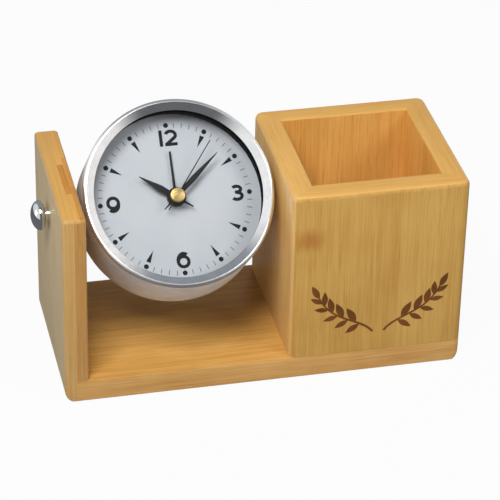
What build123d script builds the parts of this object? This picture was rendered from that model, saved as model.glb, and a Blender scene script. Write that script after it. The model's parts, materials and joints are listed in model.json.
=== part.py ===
from build123d import *
from math import asin, cos, hypot, radians, sin
import os

os.makedirs("parts", exist_ok=True)

# Bamboo stand, in millimetres
set_depth = 75.0
set_height = 88.0
base_thickness = 10.0
upright_thickness = 10.0
rabbet_width = 5.0
holder_width = 75.0
wall_thickness = 10.0
holder_corner = 3.5
upright_corner = 1.5
outer_edge = 0.9
inner_edge = 0.6
seam_edge = 0.4

# Pivot screws and washers
pivot_drop = 18.6
shank_radius = 2.0
thread_depth = 5.2
neck_radius = 3.2
neck_length = 3.2
head_radius = 6.3
head_rim = 0.8
dome_height = 3.4
dome_facets = 4
washer_radius = 4.6
washer_thickness = 2.5

# Clearances
running_gap = 0.05
press_gap = 0.02
end_float = 0.2
fit_gap = 0.15
part_gap = 0.4
overrun = 1.0

# Case, glass and dial
dial_tilt = 43.3
case_wall = 1.8
rim_round = 1.5
rim_facets = 3
back_edge = 1.0
lip_overlap = 3.1
lip_drop = 1.9
lip_thickness = 1.0
boss_radius = 3.6
boss_length = 4.0
lens_thickness = 1.5
ring_setback = 0.1
dial_thickness = 0.6

# Hands: lengths from the centre, widths and boss sizes
hand_thickness = 0.4
hand_gap = 0.4
hand_tip = 0.2
root_share = 0.7
shoulder_share = 0.42
bush_radius = 3.6
bush_rise = 1.0
alarm_length = 19.9
alarm_width = 0.8
alarm_boss_radius = 3.0
alarm_boss_height = 1.2
hour_length = 17.6
hour_tail = 8.1
hour_width = 2.2
hour_boss_radius = 4.0
hour_boss_height = 1.4
minute_length = 25.5
minute_tail = 7.8
minute_width = 2.0
minute_boss_radius = 2.7
minute_boss_height = 1.0
second_length = 27.7
second_tail = 7.2
second_width = 0.4
second_tail_width = 0.8
second_boss_radius = 1.6
second_boss_height = 0.8
cap_radius = 3.1
cap_height = 0.9
cap_edge = 0.25
cap_to_glass = 0.6
alarm_angle = 0.0
hour_angle = 305.0
minute_angle = 48.7
second_angle = 37.1

# Movement plates, arbors and tubes
plate_thickness = 1.2
mid_thickness = 1.0
bridge_thickness = 1.0
gear_thickness = 0.8
gear_gap = 0.4
arbor_radius = 0.4
stud_radius = 0.6
second_arbor = 0.6
minute_tube = 1.1
hour_tube = 1.7
alarm_tube = 2.4
pillar_radius = 1.5
pillar_step = 0.25
pillar_sides = 6
plate_margin = 2.6
pillar_right_share = 1.70
pillar_left_share = 1.80
pillar_top_share = 1.15
pillar_low_share = 0.62

# Gear train: radii at which the arbors stand, places round the centre, and teeth
train_radius = 9.0
motion_radius = 7.2
alarm_radius = 10.5
rotor_offset = 7.2
third_place = 60.0
inter_place = 190.0
rotor_place = 150.0
motion_place = 20.0
set_place = 0.0
alarm_place = 140.0
centre_teeth = 48
third_pinion_teeth = 6
third_teeth = 45
second_pinion_teeth = 6
second_teeth = 36
inter_pinion_teeth = 6
inter_teeth = 30
rotor_teeth = 6
cannon_teeth = 10
motion_teeth = 30
motion_pinion_teeth = 8
hour_teeth = 32
set_teeth = 12
alarm_teeth = 36
alarm_set_teeth = 12
tooth_root_share = 1.5
tooth_tip_share = 0.8
tooth_flat_share = 0.05

# Step motor
magnet_radius = 2.6
magnet_length = 1.6
spindle_radius = 0.9
stator_gap = 0.4
stator_half = 3.8
stator_thickness = 1.2
stator_arm = 2.0
core_width = 3.0
coil_reach = 11.4
coil_half = 6.5
bobbin_wall = 0.5
flange_thickness = 0.8
winding_depth = 1.5
winding_round = 1.2
flange_rise = 0.3

# Battery, contacts and rear cover
battery_radius = 7.1
battery_length = 50.2
battery_edge = 0.5
nub_radius = 2.7
nub_length = 1.3
contact_room = 1.1
contact_touch = 0.1
strip_thickness = 0.4
strip_half = 4.6
spring_radius = 3.2
bay_wall = 0.9
cover_thickness = 1.5
cover_recess = 1.0
cover_rim = 1.5
skirt_wall = 1.2
skirt_height = 3.0
door_gap = 0.25
door_pin_radius = 0.45
door_pin_length = 0.7
screw_radius = 0.8
screw_length = 5.0
screw_head_radius = 1.5
screw_head_height = 0.7

# Knobs, switch, circuit board and buzzer
stem_radius = 1.2
knob_radius = 4.6
knob_height = 2.8
knob_serration = 0.5
knob_teeth = 20
board_width = 11.0
board_length = 21.0
board_thickness = 1.0
board_lift = 2.6
post_half = 1.3
post_inset = 1.6
crystal_radius = 1.0
crystal_length = 6.0
chip_radius = 2.6
chip_height = 1.2
chip_edge = 0.8
slider_width = 3.4
slider_depth = 3.0
slider_travel = 4.0
slider_rise = 0.8
slider_flange = 1.0
slider_plate = 0.8
buzzer_radius = 10.5
buzzer_height = 2.2
sound_slots = 5
slot_width = 1.0
slot_length = 10.0
slot_spacing = 2.2

# Gear sizes: a module is set by the distance that the two gears share
third_module = 2 * train_radius / (centre_teeth + third_pinion_teeth)
second_module = 2 * train_radius / (third_teeth + second_pinion_teeth)
inter_module = 2 * train_radius / (second_teeth + inter_pinion_teeth)
rotor_module = 2 * rotor_offset / (inter_teeth + rotor_teeth)
cannon_module = 2 * motion_radius / (cannon_teeth + motion_teeth)
hour_module = 2 * motion_radius / (hour_teeth + motion_pinion_teeth)
alarm_module = 2 * alarm_radius / (alarm_teeth + alarm_set_teeth)
set_distance = cannon_module * (motion_teeth + set_teeth) / 2
centre_reach = third_module * (centre_teeth / 2 + tooth_tip_share)
alarm_reach = alarm_module * (alarm_teeth / 2 + tooth_tip_share)

# Battery bay below the train, and the case round its corners
bay_high = -(max(centre_reach, alarm_reach) + part_gap + bay_wall)
battery_y = bay_high - part_gap - battery_radius
bay_low = battery_y - battery_radius - part_gap
bay_inner = battery_length / 2 + contact_room
bay_half = bay_inner + bay_wall
inner_radius = hypot(bay_half, bay_low) + cover_rim
drum_radius = inner_radius + case_wall
lip_radius = inner_radius - lip_overlap
disc_radius = inner_radius - fit_gap
cover_radius = inner_radius - press_gap
half_gap = drum_radius + end_float + washer_thickness

# Heights along the clock's axis, from the pivot axis to the front
plate_back = boss_radius + part_gap
plate_top = plate_back + plate_thickness
dial_height = plate_top + dial_thickness
bush_top = dial_height + bush_rise
alarm_low = bush_top + hand_gap
alarm_high = alarm_low + alarm_boss_height
hour_low = alarm_high + hand_gap
hour_high = hour_low + hour_boss_height
minute_low = hour_high + hand_gap
minute_high = minute_low + minute_boss_height
second_low = minute_high + hand_gap
cap_low = second_low + second_boss_height
cap_high = cap_low + cap_height
lens_low = cap_high + cap_to_glass
lens_high = lens_low + lens_thickness
lip_top = lens_high + lip_thickness
rim_height = lip_top + lip_drop

# Heights behind the front plate: motion work, middle plate, train, rotor, bridge and cover
layer = gear_thickness + gear_gap
alarm_layer = plate_back - layer
hour_layer = alarm_layer - layer
motion_layer = hour_layer - layer
mid_top = motion_layer - gear_gap
mid_back = mid_top - mid_thickness
centre_layer = mid_back - layer
third_layer = centre_layer - layer
second_layer = third_layer - layer
inter_layer = second_layer - layer
magnet_top = inter_layer - gear_gap
magnet_low = magnet_top - magnet_length
bridge_top = magnet_low - gear_gap
bridge_back = bridge_top - bridge_thickness
stator_top = bridge_top + stator_thickness
core_mid = bridge_top + stator_thickness / 2
bay_front = plate_back - part_gap
cover_top = bay_front - part_gap - 2 * battery_radius
cover_back = cover_top - cover_thickness
drum_back = cover_back - cover_recess
battery_z = cover_top + part_gap + battery_radius
board_back = cover_top + board_lift
board_top = board_back + board_thickness
knob_top = cover_back - part_gap
knob_low = knob_top - knob_height

# Places across the stand
pivot_height = set_height - pivot_drop
set_length = upright_thickness + 2 * half_gap + holder_width
left_face = -set_length / 2
right_face = set_length / 2
front_face = -set_depth / 2
back_face = set_depth / 2
base_left = left_face + rabbet_width
upright_inner = left_face + upright_thickness
holder_left = right_face - holder_width
cavity_left = holder_left + wall_thickness
cavity_right = right_face - wall_thickness
cavity_front = front_face + wall_thickness
cavity_back = back_face - wall_thickness
clock_x = upright_inner + half_gap

# Clock's own frame: X across, Y up the dial, Z out of the dial, from the pivot axis
dial_normal = (0, -cos(radians(dial_tilt)), sin(radians(dial_tilt)))
clock = Plane(origin=(clock_x, 0, pivot_height), x_dir=(1, 0, 0), z_dir=dial_normal)
clock_axis = Axis(clock.origin, clock.z_dir)
section = Plane(origin=clock.origin, x_dir=clock.x_dir, z_dir=-clock.y_dir)


def polar(distance, place, start=(0, 0)):
    return (start[0] + distance * cos(radians(place)), start[1] + distance * sin(radians(place)))


# Places in the clock's frame
centre_spot = (0, 0)
third_spot = polar(train_radius, third_place)
inter_spot = polar(train_radius, inter_place)
rotor_spot = polar(rotor_offset, rotor_place, inter_spot)
motion_spot = polar(motion_radius, motion_place)
set_spot = polar(set_distance, set_place, motion_spot)
alarm_spot = polar(alarm_radius, alarm_place)
pillar_left = -pillar_left_share * train_radius
pillar_right = pillar_right_share * train_radius
pillar_low = -pillar_low_share * train_radius
pillar_high = pillar_top_share * train_radius
pillar_spots = [(x, y) for x in (pillar_left, pillar_right) for y in (pillar_low, pillar_high)]
plate_left = pillar_left - plate_margin
plate_right = pillar_right + plate_margin
plate_low = pillar_low - plate_margin
plate_high = pillar_high + plate_margin
stator_left = rotor_spot[0] - stator_half
coil_x = rotor_spot[0] - coil_reach
coil_y = rotor_spot[1]
bobbin_half = coil_half - stator_arm - fit_gap
board_left = plate_right + part_gap
board_right = board_left + board_width
board_low = bay_high + bay_wall + part_gap
board_high = board_low + board_length
board_x = (board_left + board_right) / 2
board_y = (board_low + board_high) / 2
slider_x = board_x - slider_travel / 2
post_spots = [(board_x, board_low + post_inset), (board_x, board_high - post_inset)]
buzzer_spot = (0, plate_high + part_gap + buzzer_radius)
hinge_y = bay_low + door_gap + cover_thickness / 2
hinge_z = cover_back + cover_thickness / 2
door_half = bay_inner - door_gap


# Turn that sets a gear's gap on the tooth of the gear it meets
def mate_turn(turn, teeth, place, mate_teeth):
    share = ((place - turn) * teeth / 360) % 1
    return place + 180 + (share + 0.5) * 360 / mate_teeth


motion_turn = mate_turn(0, cannon_teeth, motion_place, motion_teeth)
hour_turn = mate_turn(0, motion_pinion_teeth, motion_place + 180, hour_teeth)
set_turn = mate_turn(motion_turn, motion_teeth, set_place, set_teeth)
alarm_set_turn = mate_turn(0, alarm_teeth, alarm_place, alarm_set_teeth)
third_pinion_turn = mate_turn(0, centre_teeth, third_place, third_pinion_teeth)
second_pinion_turn = mate_turn(0, third_teeth, third_place + 180, second_pinion_teeth)
inter_pinion_turn = mate_turn(0, second_teeth, inter_place, inter_pinion_teeth)
rotor_turn = mate_turn(0, inter_teeth, rotor_place, rotor_teeth)


# Helpers that add a shape to the part being built or cut one from it, in the clock's frame
def disc(radius, low, high, spot=centre_spot, mode=Mode.ADD):
    with BuildSketch(clock.offset(low)) as face:
        with Locations(spot):
            Circle(radius)
    extrude(face.sketch, amount=high - low, mode=mode)


def hole(radius, low, high, spot=centre_spot):
    disc(radius, low - overrun, high + overrun, spot, Mode.SUBTRACT)


def block(x_low, x_high, y_low, y_high, low, high, mode=Mode.ADD):
    with BuildSketch(clock.offset(low)) as face:
        with Locations(((x_low + x_high) / 2, (y_low + y_high) / 2)):
            Rectangle(x_high - x_low, y_high - y_low)
    extrude(face.sketch, amount=high - low, mode=mode)


def rod(radius, x_low, x_high, y=0, z=0, mode=Mode.ADD):
    start = clock.from_local_coords((x_low, y, z))
    with BuildSketch(Plane(origin=start, x_dir=clock.y_dir, z_dir=clock.x_dir)) as face:
        Circle(radius)
    extrude(face.sketch, amount=x_high - x_low, mode=mode)


def window(half, low, high, spot):
    block(
        spot[0] - half,
        spot[0] + half,
        spot[1] - half,
        spot[1] + half,
        low - overrun,
        high + overrun,
        Mode.SUBTRACT,
    )


def pillar(radius, low, high, spot, mode=Mode.ADD):
    with BuildSketch(clock.offset(low)) as face:
        with Locations(spot):
            RegularPolygon(radius, pillar_sides, major_radius=False)
    extrude(face.sketch, amount=high - low, mode=mode)


def toothed(teeth, root, tip, low, high, spot, turn):
    pitch = 360 / teeth
    points = []
    for tooth in range(teeth):
        middle = turn + tooth * pitch
        points.append(polar(root, middle - pitch / 2, spot))
        points.append(polar(tip, middle - tooth_flat_share * pitch, spot))
        points.append(polar(tip, middle + tooth_flat_share * pitch, spot))
    with BuildSketch(clock.offset(low)) as face:
        with BuildLine():
            Polyline(*points, close=True)
        make_face()
    extrude(face.sketch, amount=high - low)


def gear(teeth, module, low, spot=centre_spot, turn=0):
    root = module * (teeth / 2 - tooth_root_share)
    tip = module * (teeth / 2 + tooth_tip_share)
    toothed(teeth, root, tip, low, low + gear_thickness, spot, turn)


def blade(half_points, low, angle):
    across = cos(radians(angle))
    along = sin(radians(angle))
    points = half_points + [(-x, y) for x, y in reversed(half_points)]
    with BuildSketch(clock.offset(low)) as face:
        with BuildLine():
            Polyline(*[(x * across + y * along, y * across - x * along) for x, y in points], close=True)
        make_face()
    extrude(face.sketch, amount=hand_thickness)


def lance(length, width, tail, low, angle):
    shoulder = (width / 2, shoulder_share * length)
    root = (root_share * width / 2, 0)
    blade([(hand_tip / 2, length), shoulder, root, (hand_tip / 2, -tail)], low, angle)


# Base board
with BuildPart() as base_board:
    with BuildSketch(Plane.XY):
        with Locations(((base_left + right_face) / 2, 0)):
            Rectangle(right_face - base_left, set_depth)
    extrude(amount=base_thickness)
    fillet(base_board.edges().filter_by(Axis.Z).group_by(Axis.X)[-1], holder_corner)
    chamfer(base_board.faces().sort_by(Axis.Z)[0].edges().sort_by(Axis.X)[1:], outer_edge)
    chamfer(base_board.faces().sort_by(Axis.Z)[-1].edges().sort_by(Axis.X)[1:], seam_edge)
base_board.part.label = "base_board"
export_step(base_board.part, "parts/base_board.step")

# Left upright, rabbeted over the end of the base
with BuildPart() as left_upright:
    with BuildSketch(Plane.XZ.offset(-back_face)):
        with BuildLine():
            Polyline(
                (left_face, 0),
                (base_left, 0),
                (base_left, base_thickness),
                (upright_inner, base_thickness),
                (upright_inner, set_height),
                (left_face, set_height),
                close=True,
            )
        make_face()
    extrude(amount=set_depth)
    corner_edges = left_upright.edges().filter_by(Axis.Z).group_by(Axis.X)
    fillet(corner_edges[0] + corner_edges[-1], upright_corner)
    chamfer(left_upright.faces().sort_by(Axis.Z)[-1].edges(), outer_edge)
    chamfer(left_upright.faces().sort_by(Axis.Z)[0].edges().sort_by(Axis.X)[:-1], outer_edge)
    bore_low = -half_gap - upright_thickness - overrun
    rod(shank_radius + press_gap, bore_low, -half_gap + overrun, mode=Mode.SUBTRACT)
left_upright.part.label = "left_upright"
export_step(left_upright.part, "parts/left_upright.step")

# Pen holder: one square tube, parted at its mitres into four walls
outer_corners = [
    (holder_left, front_face),
    (right_face, front_face),
    (right_face, back_face),
    (holder_left, back_face),
]
inner_corners = [
    (cavity_left, cavity_front),
    (cavity_right, cavity_front),
    (cavity_right, cavity_back),
    (cavity_left, cavity_back),
]


def holder_tube():
    with BuildSketch(Plane.XY.offset(base_thickness)) as tube:
        with Locations(((holder_left + right_face) / 2, 0)):
            RectangleRounded(holder_width, set_depth, holder_corner)
            Rectangle(cavity_right - cavity_left, cavity_back - cavity_front, mode=Mode.SUBTRACT)
    extrude(tube.sketch, amount=set_height - base_thickness)
    chamfer(faces().sort_by(Axis.Z)[-1].outer_wire().edges(), outer_edge)
    chamfer(faces().sort_by(Axis.Z)[-1].inner_wires()[0].edges(), inner_edge)


def keep_wall(first, second):
    corners = [outer_corners[first], outer_corners[second], inner_corners[second], inner_corners[first]]
    with BuildSketch(Plane.XY) as wedge:
        with BuildLine():
            Polyline(*corners, close=True)
        make_face()
    extrude(wedge.sketch, amount=set_height + overrun, mode=Mode.INTERSECT)


with BuildPart() as holder_front:
    holder_tube()
    keep_wall(0, 1)
holder_front.part.label = "holder_front"
export_step(holder_front.part, "parts/holder_front.step")

with BuildPart() as holder_right:
    holder_tube()
    keep_wall(1, 2)
holder_right.part.label = "holder_right"
export_step(holder_right.part, "parts/holder_right.step")

with BuildPart() as holder_back:
    holder_tube()
    keep_wall(2, 3)
holder_back.part.label = "holder_back"
export_step(holder_back.part, "parts/holder_back.step")

with BuildPart() as holder_left_wall:
    holder_tube()
    keep_wall(3, 0)
    bore_high = half_gap + wall_thickness + overrun
    rod(shank_radius + press_gap, half_gap - overrun, bore_high, mode=Mode.SUBTRACT)
holder_left_wall.part.label = "holder_left"
export_step(holder_left_wall.part, "parts/holder_left.step")


# Pivot screws: a domed head on a neck, and a plain shank that ends in the case
def pivot_screw(side, board):
    neck_x = half_gap + board
    rim_x = neck_x + neck_length
    dome_x = rim_x + head_rim
    dome_radius = (head_radius**2 + dome_height**2) / (2 * dome_height)
    dome_turn = asin(head_radius / dome_radius)
    dome_centre = dome_x + dome_height - dome_radius
    dome_turns = [dome_turn * (1 - step / dome_facets) for step in range(dome_facets + 1)]
    with BuildSketch(Plane(origin=clock.origin, x_dir=(1, 0, 0), z_dir=(0, -1, 0))) as profile:
        with BuildLine():
            Polyline(
                (side * (drum_radius - thread_depth), 0),
                (side * (drum_radius - thread_depth), shank_radius),
                (side * neck_x, shank_radius),
                (side * neck_x, neck_radius),
                (side * rim_x, neck_radius),
                (side * rim_x, head_radius),
                *[(side * (dome_centre + dome_radius * cos(a)), dome_radius * sin(a)) for a in dome_turns],
                close=True,
            )
        make_face()
    revolve(profile.sketch, axis=Axis(clock.origin, (1, 0, 0)))


with BuildPart() as pivot_screws:
    pivot_screw(-1, upright_thickness)
    pivot_screw(1, wall_thickness)
pivot_screws.part.label = "pivot_screws"
export_step(pivot_screws.part, "parts/pivot_screws.step")

# Washers between the boards and the case
with BuildPart() as pivot_washers:
    rod(washer_radius, -half_gap, -half_gap + washer_thickness)
    rod(washer_radius, half_gap - washer_thickness, half_gap)
    rod(shank_radius + running_gap, -half_gap - overrun, half_gap + overrun, mode=Mode.SUBTRACT)
pivot_washers.part.label = "pivot_washers"
export_step(pivot_washers.part, "parts/pivot_washers.step")

# Case: turned shell with two inner bosses for the pivot screws
with BuildPart() as case_shell:
    with BuildSketch(section):
        with BuildLine():
            rim_centre = (drum_radius - rim_round, rim_height - rim_round)
            rim_places = [90 * step / rim_facets for step in range(rim_facets + 1)]
            Polyline(
                (inner_radius, drum_back),
                (drum_radius - back_edge, drum_back),
                (drum_radius, drum_back + back_edge),
                *[polar(rim_round, place, rim_centre) for place in rim_places],
                (lip_radius, lip_top),
                (lip_radius, lens_high),
                (inner_radius, lens_high),
                close=True,
            )
        make_face()
    revolve(axis=clock_axis)
    rod(boss_radius, -inner_radius - case_wall / 2, -inner_radius + boss_length)
    rod(boss_radius, inner_radius - boss_length, inner_radius + case_wall / 2)
    rod(shank_radius + running_gap, -drum_radius - overrun, drum_radius + overrun, mode=Mode.SUBTRACT)
case_shell.part.label = "case_shell"
export_step(case_shell.part, "parts/case_shell.step")

# Glass
with BuildPart() as lens:
    disc(disc_radius, lens_low, lens_high)
lens.part.label = "lens"
export_step(lens.part, "parts/lens.step")

# Spacer ring between dial and glass
with BuildPart() as spacer_ring:
    disc(disc_radius, dial_height, lens_low)
    hole(lip_radius + ring_setback, dial_height, lens_low)
spacer_ring.part.label = "spacer_ring"
export_step(spacer_ring.part, "parts/spacer_ring.step")

# Dial
with BuildPart() as dial:
    disc(disc_radius, plate_top, dial_height)
    hole(bush_radius + running_gap, plate_top, dial_height)
dial.part.label = "dial"
export_step(dial.part, "parts/dial.step")

# Alarm hand
with BuildPart() as alarm_hand:
    blade([(alarm_width / 2, alarm_length), (alarm_width / 2, 0)], alarm_low, alarm_angle)
    disc(alarm_boss_radius, alarm_low, alarm_high)
    hole(alarm_tube + press_gap, alarm_low, alarm_high)
alarm_hand.part.label = "alarm_hand"
export_step(alarm_hand.part, "parts/alarm_hand.step")

# Hour hand
with BuildPart() as hour_hand:
    lance(hour_length, hour_width, hour_tail, hour_low, hour_angle)
    disc(hour_boss_radius, hour_low, hour_high)
    hole(hour_tube + press_gap, hour_low, hour_high)
hour_hand.part.label = "hour_hand"
export_step(hour_hand.part, "parts/hour_hand.step")

# Minute hand
with BuildPart() as minute_hand:
    lance(minute_length, minute_width, minute_tail, minute_low, minute_angle)
    disc(minute_boss_radius, minute_low, minute_high)
    hole(minute_tube + press_gap, minute_low, minute_high)
minute_hand.part.label = "minute_hand"
export_step(minute_hand.part, "parts/minute_hand.step")

# Second hand
with BuildPart() as second_hand:
    second_half = second_width / 2
    tail_half = second_tail_width / 2
    front_points = [(second_half, second_length), (second_half, 0)]
    tail_points = [(tail_half, 0), (tail_half, -second_tail)]
    blade(front_points + tail_points, second_low, second_angle)
    disc(second_boss_radius, second_low, cap_low)
    hole(second_arbor + press_gap, second_low, cap_low)
second_hand.part.label = "second_hand"
export_step(second_hand.part, "parts/second_hand.step")

# Cap on the second hand
with BuildPart() as centre_cap:
    disc(cap_radius, cap_low, cap_high)
    chamfer(centre_cap.faces().sort_by(clock_axis)[-1].edges(), cap_edge)
centre_cap.part.label = "centre_cap"
export_step(centre_cap.part, "parts/centre_cap.step")

# Front plate with the centre bush and four stepped hexagon pillars
with BuildPart() as front_plate:
    disc(disc_radius, plate_back, plate_top)
    disc(bush_radius, plate_top, bush_top)
    for spot in pillar_spots:
        pillar(pillar_radius + 2 * pillar_step, mid_top, plate_back, spot)
        pillar(pillar_radius + pillar_step, bridge_top, mid_top, spot)
        pillar(pillar_radius, cover_top, bridge_top, spot)
        disc(screw_radius + press_gap, cover_top - overrun, cover_top + screw_length, spot, Mode.SUBTRACT)
    hole(alarm_tube + running_gap, plate_back, bush_top)
    hole(stud_radius + running_gap, plate_back, plate_top, set_spot)
    hole(stud_radius + running_gap, plate_back, plate_top, alarm_spot)
front_plate.part.label = "front_plate"
export_step(front_plate.part, "parts/front_plate.step")

# Middle plate with the stud of the minute work
with BuildPart() as mid_plate:
    block(plate_left, plate_right, plate_low, plate_high, mid_back, mid_top)
    for spot in pillar_spots:
        pillar(pillar_radius + pillar_step + press_gap, mid_back, mid_top, spot, Mode.SUBTRACT)
    for spot in (third_spot, inter_spot, rotor_spot):
        hole(arbor_radius + running_gap, mid_back, mid_top, spot)
    for spot in (set_spot, alarm_spot):
        window(stem_radius + part_gap, mid_back, mid_top, spot)
    hole(minute_tube + running_gap, mid_back, mid_top)
    disc(stud_radius, mid_back, hour_layer + gear_thickness, motion_spot)
mid_plate.part.label = "mid_plate"
export_step(mid_plate.part, "parts/mid_plate.step")

# Bridge plate behind the train
with BuildPart() as bridge_plate:
    block(plate_left, plate_right, plate_low, plate_high, bridge_back, bridge_top)
    for spot in pillar_spots:
        pillar(pillar_radius + press_gap, bridge_back, bridge_top, spot, Mode.SUBTRACT)
    for spot in (third_spot, inter_spot, rotor_spot):
        hole(arbor_radius + running_gap, bridge_back, bridge_top, spot)
    for spot in (set_spot, alarm_spot):
        window(stem_radius + part_gap, bridge_back, bridge_top, spot)
    hole(second_arbor + running_gap, bridge_back, bridge_top)
bridge_plate.part.label = "bridge_plate"
export_step(bridge_plate.part, "parts/bridge_plate.step")

# Alarm wheel and its tube
with BuildPart() as alarm_wheel:
    gear(alarm_teeth, alarm_module, alarm_layer)
    disc(alarm_tube, alarm_layer, alarm_high)
    hole(hour_tube + running_gap, alarm_layer, alarm_high)
alarm_wheel.part.label = "alarm_wheel"
export_step(alarm_wheel.part, "parts/alarm_wheel.step")

# Hour wheel and its tube
with BuildPart() as hour_wheel:
    gear(hour_teeth, hour_module, hour_layer, turn=hour_turn)
    disc(hour_tube, hour_layer, hour_high)
    hole(minute_tube + running_gap, hour_layer, hour_high)
hour_wheel.part.label = "hour_wheel"
export_step(hour_wheel.part, "parts/hour_wheel.step")

# Minute work: a wheel driven by the cannon pinion, and a pinion that drives the hour wheel
with BuildPart() as minute_work:
    gear(motion_teeth, cannon_module, motion_layer, motion_spot, motion_turn)
    gear(motion_pinion_teeth, hour_module, hour_layer, motion_spot)
    motion_hub = hour_module * (motion_pinion_teeth / 2 - tooth_root_share)
    disc(motion_hub, motion_layer, hour_layer + gear_thickness, motion_spot)
    hole(stud_radius + running_gap, motion_layer, hour_layer + gear_thickness, motion_spot)
minute_work.part.label = "minute_work"
export_step(minute_work.part, "parts/minute_work.step")

# Centre wheel with the cannon pinion on one tube
with BuildPart() as centre_wheel:
    gear(centre_teeth, third_module, centre_layer)
    gear(cannon_teeth, cannon_module, motion_layer)
    disc(minute_tube, centre_layer, minute_high)
    hole(second_arbor + running_gap, centre_layer, minute_high)
centre_wheel.part.label = "centre_wheel"
export_step(centre_wheel.part, "parts/centre_wheel.step")

# Third wheel
with BuildPart() as third_wheel:
    gear(third_pinion_teeth, third_module, centre_layer, third_spot, third_pinion_turn)
    gear(third_teeth, second_module, third_layer, third_spot)
    disc(arbor_radius, bridge_back, mid_top, third_spot)
third_wheel.part.label = "third_wheel"
export_step(third_wheel.part, "parts/third_wheel.step")

# Seconds wheel on its long arbor
with BuildPart() as seconds_wheel:
    gear(second_pinion_teeth, second_module, third_layer, turn=second_pinion_turn)
    gear(second_teeth, inter_module, second_layer)
    disc(second_arbor, bridge_back, cap_low)
seconds_wheel.part.label = "seconds_wheel"
export_step(seconds_wheel.part, "parts/seconds_wheel.step")

# Intermediate wheel
with BuildPart() as inter_wheel:
    gear(inter_pinion_teeth, inter_module, second_layer, inter_spot, inter_pinion_turn)
    gear(inter_teeth, rotor_module, inter_layer, inter_spot)
    disc(arbor_radius, bridge_back, mid_top, inter_spot)
inter_wheel.part.label = "inter_wheel"
export_step(inter_wheel.part, "parts/inter_wheel.step")

# Rotor of the step motor
with BuildPart() as rotor:
    gear(rotor_teeth, rotor_module, inter_layer, rotor_spot, rotor_turn)
    disc(spindle_radius, magnet_low, inter_layer, rotor_spot)
    disc(arbor_radius, bridge_back, mid_top, rotor_spot)
rotor.part.label = "rotor"
export_step(rotor.part, "parts/rotor.step")

with BuildPart() as rotor_magnet:
    disc(magnet_radius, magnet_low, magnet_top, rotor_spot)
    hole(spindle_radius + press_gap, magnet_low, magnet_top, rotor_spot)
rotor_magnet.part.label = "rotor_magnet"
export_step(rotor_magnet.part, "parts/rotor_magnet.step")

# Stator: a block round the rotor and a window frame whose far side carries the coil
with BuildPart() as stator:
    core_left = coil_x - core_width / 2
    core_right = coil_x + core_width / 2
    frame_right = stator_left + part_gap
    window_top = coil_y + coil_half - stator_arm
    window_low = coil_y - coil_half + stator_arm
    block(core_left, frame_right, coil_y - coil_half, coil_y + coil_half, bridge_top, stator_top)
    block(
        core_right,
        frame_right - stator_arm,
        window_low,
        window_top,
        bridge_top - overrun,
        stator_top + overrun,
        Mode.SUBTRACT,
    )
    block(
        stator_left,
        stator_left + 2 * stator_half,
        coil_y - stator_half,
        coil_y + stator_half,
        bridge_top,
        stator_top,
    )
    hole(magnet_radius + stator_gap, bridge_top, stator_top, rotor_spot)
stator.part.label = "stator"
export_step(stator.part, "parts/stator.step")


# Sleeve round the coil's core, between two margins from the core
def sleeve(y_low, y_high, inner, outer):
    start = clock.from_local_coords((coil_x, y_low, core_mid))
    with BuildSketch(Plane(origin=start, x_dir=clock.x_dir, z_dir=clock.y_dir)) as face:
        Rectangle(core_width + 2 * outer, stator_thickness + 2 * outer)
        Rectangle(core_width + 2 * inner, stator_thickness + 2 * inner, mode=Mode.SUBTRACT)
    extrude(face.sketch, amount=y_high - y_low)


coil_low = coil_y - bobbin_half
coil_high = coil_y + bobbin_half
winding_margin = bobbin_wall + winding_depth
flange_margin = winding_margin + flange_rise

with BuildPart() as coil_bobbin:
    sleeve(coil_low, coil_high, press_gap, bobbin_wall)
    sleeve(coil_low, coil_low + flange_thickness, press_gap, flange_margin)
    sleeve(coil_high - flange_thickness, coil_high, press_gap, flange_margin)
coil_bobbin.part.label = "coil_bobbin"
export_step(coil_bobbin.part, "parts/coil_bobbin.step")

with BuildPart() as coil_winding:
    sleeve(coil_low + flange_thickness, coil_high - flange_thickness, bobbin_wall, winding_margin)
    coil_axis = Axis(clock.from_local_coords((coil_x, coil_y, core_mid)), clock.y_dir)
    long_edges = coil_winding.edges().filter_by(coil_axis)
    fillet(long_edges.sort_by_distance(coil_axis.position)[-4:], winding_round)
coil_winding.part.label = "coil_winding"
export_step(coil_winding.part, "parts/coil_winding.step")

# Circuit board with its crystal and its chip
with BuildPart() as circuit_board:
    block(board_left, board_right, board_low, board_high, board_back, board_top)
circuit_board.part.label = "circuit_board"
export_step(circuit_board.part, "parts/circuit_board.step")

with BuildPart() as crystal:
    rod(
        crystal_radius,
        board_x - crystal_length / 2,
        board_x + crystal_length / 2,
        board_high - post_inset,
        board_top + crystal_radius + press_gap,
    )
crystal.part.label = "crystal"
export_step(crystal.part, "parts/crystal.step")

with BuildPart() as chip:
    disc(chip_radius, board_top, board_top + chip_height, (board_x, board_y))
    chamfer(chip.faces().sort_by(clock_axis)[-1].edges(), chip_edge)
chip.part.label = "chip"
export_step(chip.part, "parts/chip.step")

# Buzzer on the rear cover
with BuildPart() as buzzer:
    disc(buzzer_radius, cover_top, cover_top + buzzer_height, buzzer_spot)
    chamfer(buzzer.faces().sort_by(clock_axis)[-1].edges(), chip_edge)
buzzer.part.label = "buzzer"
export_step(buzzer.part, "parts/buzzer.step")

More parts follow.
